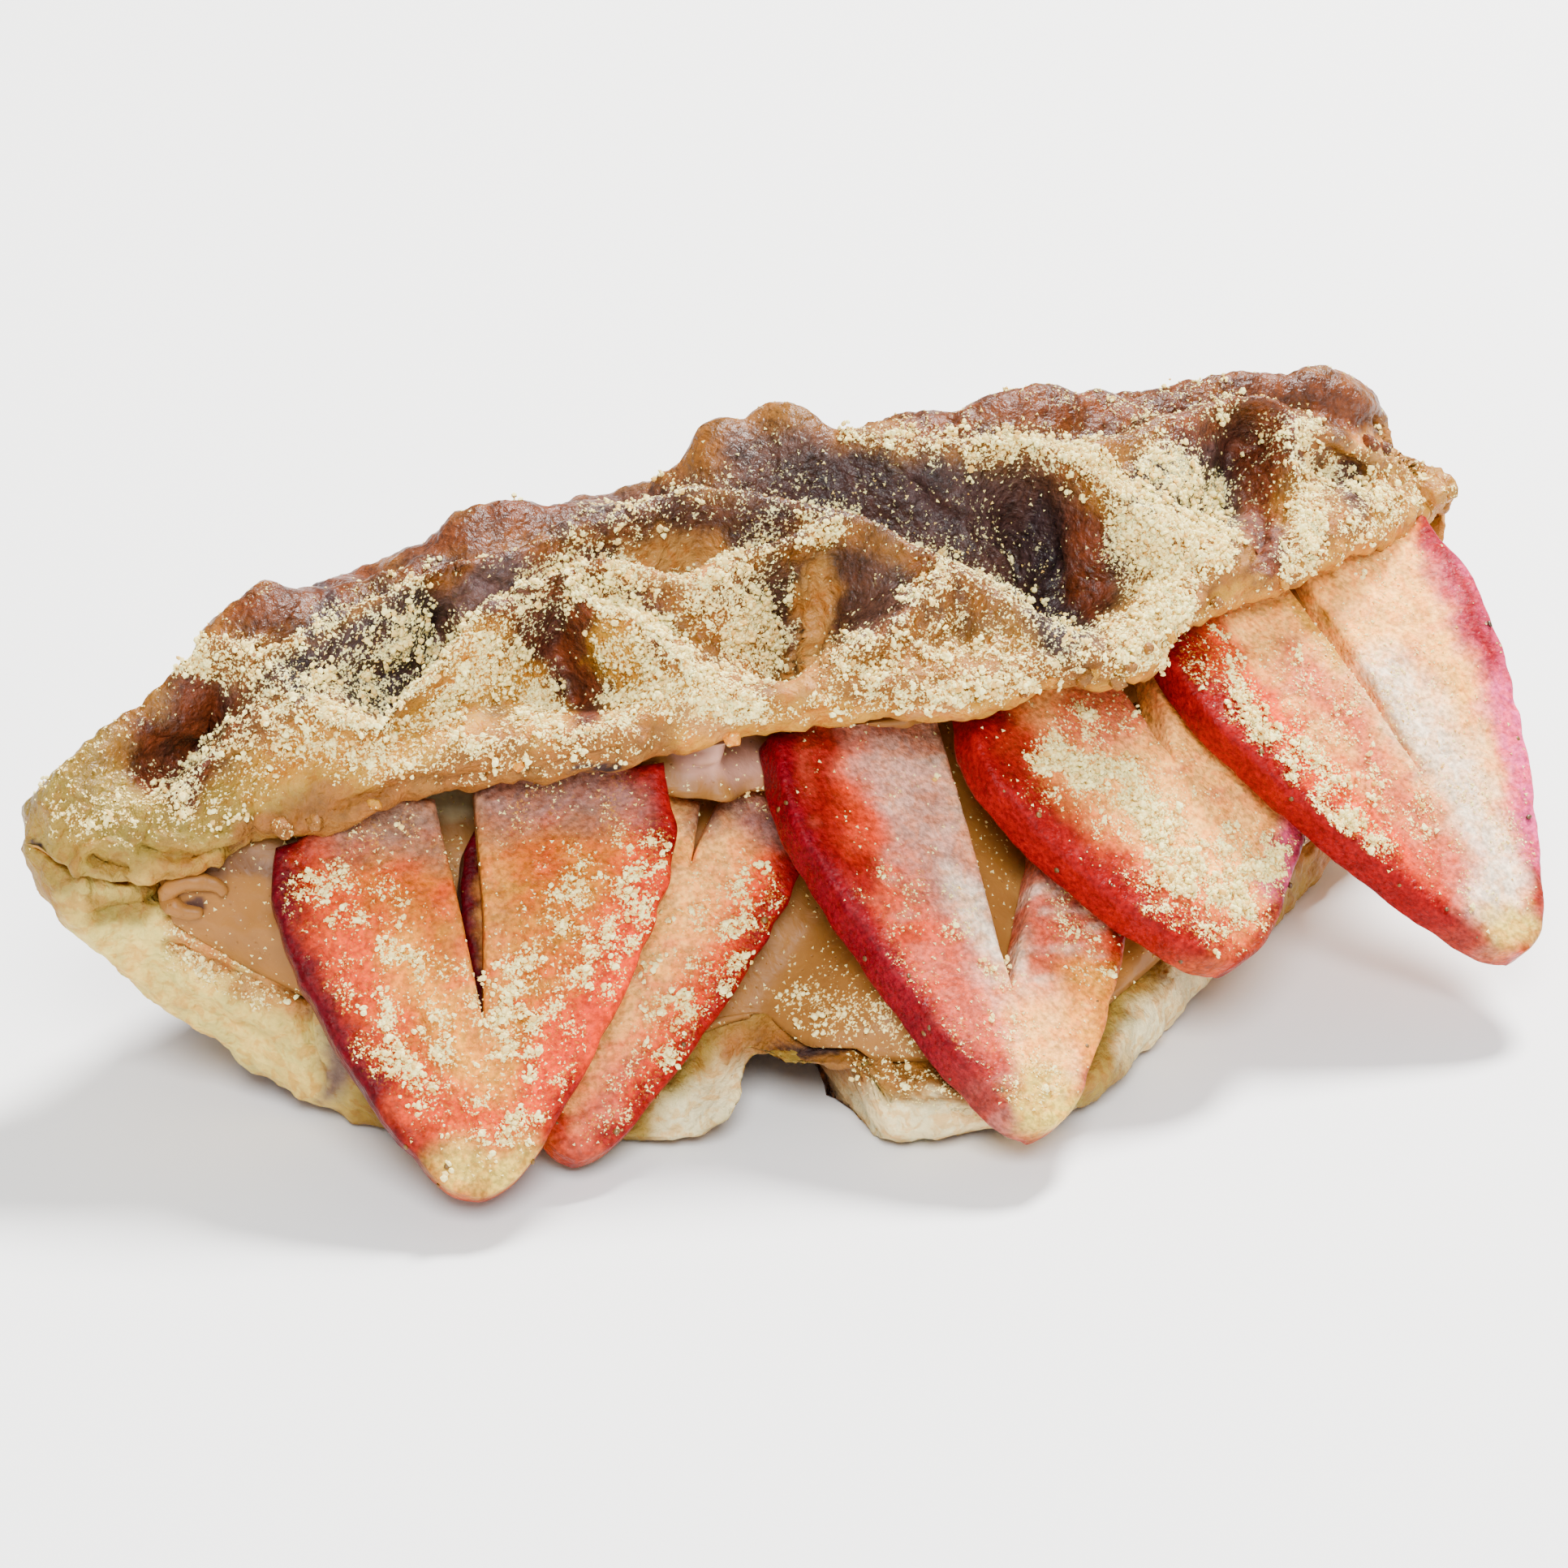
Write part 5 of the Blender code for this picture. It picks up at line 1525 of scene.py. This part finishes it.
def slice_half(name, record, halves, split, side):
    """Points, tones and powder cover of one half, each for the front layer and the back one."""
    _, length, half, normal = slice_axes(record)
    scale = np.array((np.linalg.norm(half), np.linalg.norm(length)))
    grid = halves[side]
    flat = grid * scale
    skins = edge_distances(flat, halves, scale, np.s_[:, -1])
    tops = edge_distances(flat, halves, scale, np.s_[-1])
    cuts = edge_distances(flat, halves, scale, np.s_[split:, 0])
    rim, top, cut = [np.minimum(*away.values()) for away in (skins, tops, cuts)]
    drop = rounded_drop(((rim, SKIN_ROUND), (top, FLESH_ROUND), (cut, FLESH_ROUND)))
    spot = slice_spots(name, record, grid, side)
    wobble = 0.12 * rough_noise(spot, 3.5, 51) + 0.11 * rough_noise(spot, 1.0, 52, 2)
    front = spot - (drop + FACE_WOBBLE * wobble)[..., None] * normal
    back = spot - (SLICE_THICKNESS - drop - FACE_WOBBLE * wobble)[..., None] * normal
    tone = flesh_tone(FRUIT_LOOKS[name], record.lean, grid, flat, skins, spot, side)
    painted = paint(tone, front, FRUIT_MARK_GAIN, FRUIT_MARKS[name])
    cover = dust(FRUIT_DUST, front, 1.0, FRUIT_POWDER[name])
    cover = cover * ramp(rim, 0.0, 0.8) * cluster(spot, 1.7, 57, 0.35, 2.0)
    return (front, back), (painted, tone), (cover, np.zeros(cover.shape))


def sheet(ids, flip):
    """Quads between the rows and columns of a grid of vertex numbers."""
    quads = np.stack([ids[:-1, :-1], ids[:-1, 1:], ids[1:, 1:], ids[1:, :-1]], axis=-1).reshape(-1, 4)
    return quads[:, ::-1] if flip else quads


def slice_faces(split):
    """Faces of a slice, and the triangles of its front, as vertex numbers.

    The numbers run by half, layer, row and column.  The halves share their middle up to the notch.
    """
    shape = (2, 2, SLICE_ROWS + 1, SLICE_COLUMNS + 1)
    ids = np.arange(math.prod(shape)).reshape(shape)
    ids[1, :, :split + 1, 0] = ids[0, :, :split + 1, 0]
    faces = []
    triangles = []
    for (front, back), flip in zip(ids, (False, True)):
        faces.append(sheet(front, flip))
        faces.append(sheet(back, not flip))
        faces.append(sheet(np.stack([front[:, -1], back[:, -1]], axis=1), flip))
        faces.append(sheet(np.stack([back[split:, 0], front[split:, 0]], axis=1), flip))
        faces.append(sheet(np.stack([front[-1], back[-1]]), flip))
        faces.append(sheet(np.stack([back[0], front[0]]), flip))
        quads = sheet(front, False)
        corners = np.stack([quads[:, [0, 1, 2]], quads[:, [0, 2, 3]]], axis=1).reshape(-1, 3)
        triangles.append(corners[:, ::-1] if flip else corners)
    return np.concatenate(faces), np.concatenate(triangles)


def build_slice(name, record, material):
    """One slice: rounded skin rim, notch, painted flesh.  Gives a surface to scatter powder on."""
    halves, split = slice_grid(record)
    parts = [slice_half(name, record, halves, split, side) for side in SIDES]
    points, tones, covers = [np.array(layers) for layers in zip(*parts)]
    faces, triangles = slice_faces(split)
    used = np.unique(faces)
    number = np.zeros(covers.size, int)
    number[used] = np.arange(len(used))
    verts = points.reshape(-1, 3)[used]
    values = {
        "tone": np.clip(tones, 0.0, 1.0).reshape(-1, 3)[used],
        "dust": covers.ravel()[used],
    }
    add_piece(name + "_slice", verts, number[faces], material, values, name)
    return verts, number[triangles], values["dust"]


# ---------------------------------------------------------------- small pieces and powder
# How near to a pixel a small piece's place has to fall, in pixels, and how near if nothing is there.
NEAR_PIXELS = 9.0
WIDE_PIXELS = 40.0
# Crumbs and torn bits of crust: pixel, radius, colour.
CRUMBS = (
    (1379, 846, 0.8, "tan"), (1390, 832, 0.6, "tan"), (1416, 806, 0.6, "tan"), (1340, 842, 0.7, "tan"),
    (1352, 836, 0.5, "gold"), (1300, 846, 0.6, "gold"), (1268, 858, 0.5, "tan"), (1210, 872, 0.6, "gold"),
    (1450, 786, 0.6, "gold"), (1500, 752, 0.6, "tan"), (1590, 720, 0.5, "gold"), (396, 1018, 0.7, "tan"),
    (345, 1026, 0.8, "tan"), (470, 992, 0.5, "gold"), (640, 952, 0.5, "honey"), (905, 916, 0.6, "honey"),
    (1766, 604, 1.5, "pale"), (1784, 606, 1.2, "pale"), (1694, 538, 0.8, "amber"),
    (1712, 546, 0.7, "amber"),
)
# Curl of cream under the lip: its line of pixels, then its size in millimetres and its points.
ROLL_PIXELS = ((252, 1132), (226, 1132), (206, 1122), (202, 1104), (218, 1092), (244, 1088), (266, 1096),
               (278, 1112))
ROLL_RADIUS = 0.8
ROLL_STEPS = 60
ROLL_SIDES = 24
ROLL_STAND = 0.4
ROLL_DUST = 0.04
# Seeds: along a slice from and to, their distance in millimetres, and how far in from the outline they
# sit on the rim and on the face.
SEED_RANGE = (0.08, 0.86)
SEED_STEP = 3.6
RIM_INSET = 0.25
FACE_INSET = 0.9
FACE_DEPTH = 0.35
SEED_RADII = (0.18, 0.30)
# Powder: loose grains, heaps and the grains in each, their radii, and how far a heap spreads.
GRAINS = 33000
CLUMPS = 1900
CLUMP_GRAINS = 5
GRAIN_RADII = (0.08, 0.19)
CLUMP_RADII = (0.12, 0.29)
CLUMP_SPREAD = (0.14, 0.40)


def skin_place(verts, column, row):
    """The frontmost point of a surface near a pixel, where a small piece sits."""
    across, down = photo_place(verts)
    away = np.hypot(across - column, down - row)
    close = away < NEAR_PIXELS
    if not close.any():
        close = away < WIDE_PIXELS
    shown = verts[close]
    return shown[np.argmax(shown @ BACKWARD)]


def build_crumbs(verts, material):
    """Crumbs and torn bits of crust where the photograph shows them."""
    rng = np.random.default_rng(31)
    place = np.array([skin_place(verts, column, row) for column, row, _, _ in CRUMBS])
    radii = np.array([record[2] for record in CRUMBS])
    color = np.array([COLORS[record[3]] for record in CRUMBS])
    normal = unit(np.tile(BACKWARD, (len(place), 1)) + 0.3 * rng.normal(size=(len(place), 3)))
    add_lumps("crust_crumbs", place, normal, radii, lump_shape(8, 12), 0.8, material, 32,
              color, 0.22)


def build_roll(cream, material):
    """Curl of cream squeezed out under the upper lip."""
    path = np.array([skin_place(cream, column, row) for column, row in ROLL_PIXELS]) + ROLL_STAND * BACKWARD
    t = np.linspace(0.0, 1.0, ROLL_STEPS)
    knots = np.linspace(0.0, 1.0, len(path))
    path = np.stack([np.interp(t, knots, path[:, k]) for k in range(3)], axis=1)
    smooth(path, 12)
    along = unit(np.gradient(path, axis=0))
    side = unit(np.cross(along, BACKWARD))
    third = np.cross(side, along)
    turn = np.linspace(0.0, 2.0 * math.pi, ROLL_SIDES + 1)[:-1]
    width = ROLL_RADIUS * (0.25 + 0.75 * np.sin(math.pi * t) ** 0.4)
    ring = np.cos(turn)[None, :, None] * side[:, None] + np.sin(turn)[None, :, None] * third[:, None]
    grid = path[:, None] + width[:, None, None] * ring
    grid = grid + 0.15 * rough_noise(grid, 1.6, 44)[..., None] * ring
    verts = np.concatenate([grid.reshape(-1, 3), path[:1], path[-1:]])
    shade = 1.0 + 0.1 * rough_noise(verts, 2.0, 45)
    values = {"tone": COLORS["cream"] * shade[:, None], "dust": np.full(len(verts), ROLL_DUST)}
    add_piece("cream_roll_1", verts, tube_faces(len(path), len(turn)), material, values, "cream")


def build_seeds(material):
    """Seeds set in the skin round each slice."""
    rng = np.random.default_rng(41)
    place = []
    normal = []
    for record in SLICES.values():
        tip, length, half, front = slice_axes(record)
        for side in SIDES:
            outward = side * half / np.linalg.norm(half) - 0.25 * length / np.linalg.norm(length)
            t = SEED_RANGE[0]
            while t < SEED_RANGE[1]:
                across = slice_side(record, t, side)[0]
                for depth in rng.uniform((-0.1, 1.6), (0.8, 2.9)):
                    on_face = depth < FACE_DEPTH
                    spot = tip + (t + rng.uniform(-0.02, 0.02)) * length + across * half
                    spot = spot - (FACE_INSET if on_face else RIM_INSET) * outward - max(depth, 0.0) * front
                    place.append(spot)
                    facing = front if on_face else outward
                    normal.append(facing / np.linalg.norm(facing))
                t += SEED_STEP / np.linalg.norm(length)
    radii = rng.uniform(*SEED_RADII, len(place))
    add_lumps("fruit_seeds", np.array(place), np.array(normal), radii, lump_shape(5, 8), 0.6, material,
              42, None, 0.08)


def build_powder(surfaces, material):
    """Loose grains, and clumps of grains where the powder lies thickest."""
    fine, fine_normal = scatter([(v, t, d ** 1.2) for v, t, d in surfaces], GRAINS, 5)
    rng = np.random.default_rng(6)
    radii = rng.uniform(*GRAIN_RADII, len(fine))
    add_lumps("powder_grains", fine, fine_normal, radii, lump_shape(2, 3), 0.8, material, 7)
    spot, normal = scatter([(v, t, d ** 2.0) for v, t, d in surfaces], CLUMPS, 8)
    spot = np.repeat(spot, CLUMP_GRAINS, axis=0)
    normal = np.repeat(normal, CLUMP_GRAINS, axis=0)
    spread = rng.normal(size=spot.shape)
    spread *= np.repeat(rng.uniform(*CLUMP_SPREAD, CLUMPS), CLUMP_GRAINS)[:, None]
    lift = np.einsum("ij,ij->i", spread, normal)
    spread += (np.abs(lift) * 0.8 - lift)[:, None] * normal
    radii = rng.uniform(*CLUMP_RADII, len(spot))
    add_lumps("powder_clumps", spot + spread, normal, radii, lump_shape(3, 5), 0.85, material, 9)


# ---------------------------------------------------------------- stage
FLOOR_REACH = 3.0
FLOOR_COLOR = (0.92, 0.92, 0.92, 1.0)
SKY_COLOR = (1.0, 0.99, 0.97, 1.0)
SKY_POWER = 0.6
# Where the lights look; then each light's place and size in metres, its power and its colour.
LIGHT_TARGET = (0.0, 0.0, 0.025)
LIGHTS = {
    "key": ((0.42, 0.26, 0.76), 0.24, 31.0, (1.0, 0.985, 0.96)),
    "fill": ((-0.25, -0.55, 0.65), 0.40, 12.0, (0.98, 0.99, 1.0)),
}


def build_floor():
    """White ground, which is no part of the piece."""
    mesh = bpy.data.meshes.new("floor")
    corners = [(-1, -1), (1, -1), (1, 1), (-1, 1)]
    mesh.from_pydata([(x * FLOOR_REACH, y * FLOOR_REACH, 0.0) for x, y in corners], [], [(0, 1, 2, 3)])
    g = Graph("floor")
    g.feed("Base Color", FLOOR_COLOR)
    g.feed("Roughness", 0.9)
    mesh.materials.append(g.material)
    add_object("floor", mesh)


def build_sky():
    """Even, nearly white light from all round."""
    world = bpy.data.worlds.new("studio")
    world.use_nodes = True
    sky = world.node_tree.nodes["Background"]
    sky.inputs["Color"].default_value = SKY_COLOR
    sky.inputs["Strength"].default_value = SKY_POWER
    bpy.context.scene.world = world


def build_light(name, place, size, power, color):
    """Round lamp that looks at the piece."""
    data = bpy.data.lights.new(name, "AREA")
    data.shape = "DISK"
    data.size = size
    data.energy = power
    data.color = color
    lamp = add_object(name, data)
    lamp.location = place
    look = np.array(LIGHT_TARGET) - np.array(place)
    lamp.rotation_euler = Vector(look).to_track_quat("-Z", "Y").to_euler()


def build_camera():
    """Camera with the photograph's view."""
    data = bpy.data.cameras.new("view")
    data.sensor_width = SENSOR_MM
    data.lens = SENSOR_MM * CAMERA_DISTANCE / (PIXEL_MM * PHOTO_SIZE)
    data.clip_start = 0.01
    view = add_object("view", data)
    view.location = (EYE + np.array(FRAME_SHIFT)) * MM
    view.rotation_euler = Vector(-BACKWARD).to_track_quat("-Z", "Y").to_euler()
    bpy.context.scene.camera = view


def build_stage():
    """Floor, light and camera round the piece."""
    build_floor()
    build_sky()
    for name, settings in LIGHTS.items():
        build_light(name, *settings)
    build_camera()


def main():
    """Builds every piece and the stage."""
    crust = crust_material()
    powder = powder_material()
    fruit = fruit_material()
    cream = cream_material()
    surfaces = [build_pastry(crust), build_cream(cream)]
    for name, record in SLICES.items():
        surfaces.append(build_slice(name, record, fruit))
    build_powder(surfaces, powder)
    build_crumbs(surfaces[0][0], crust)
    build_roll(surfaces[1][0], cream)
    build_seeds(seed_material())
    build_stage()


main()
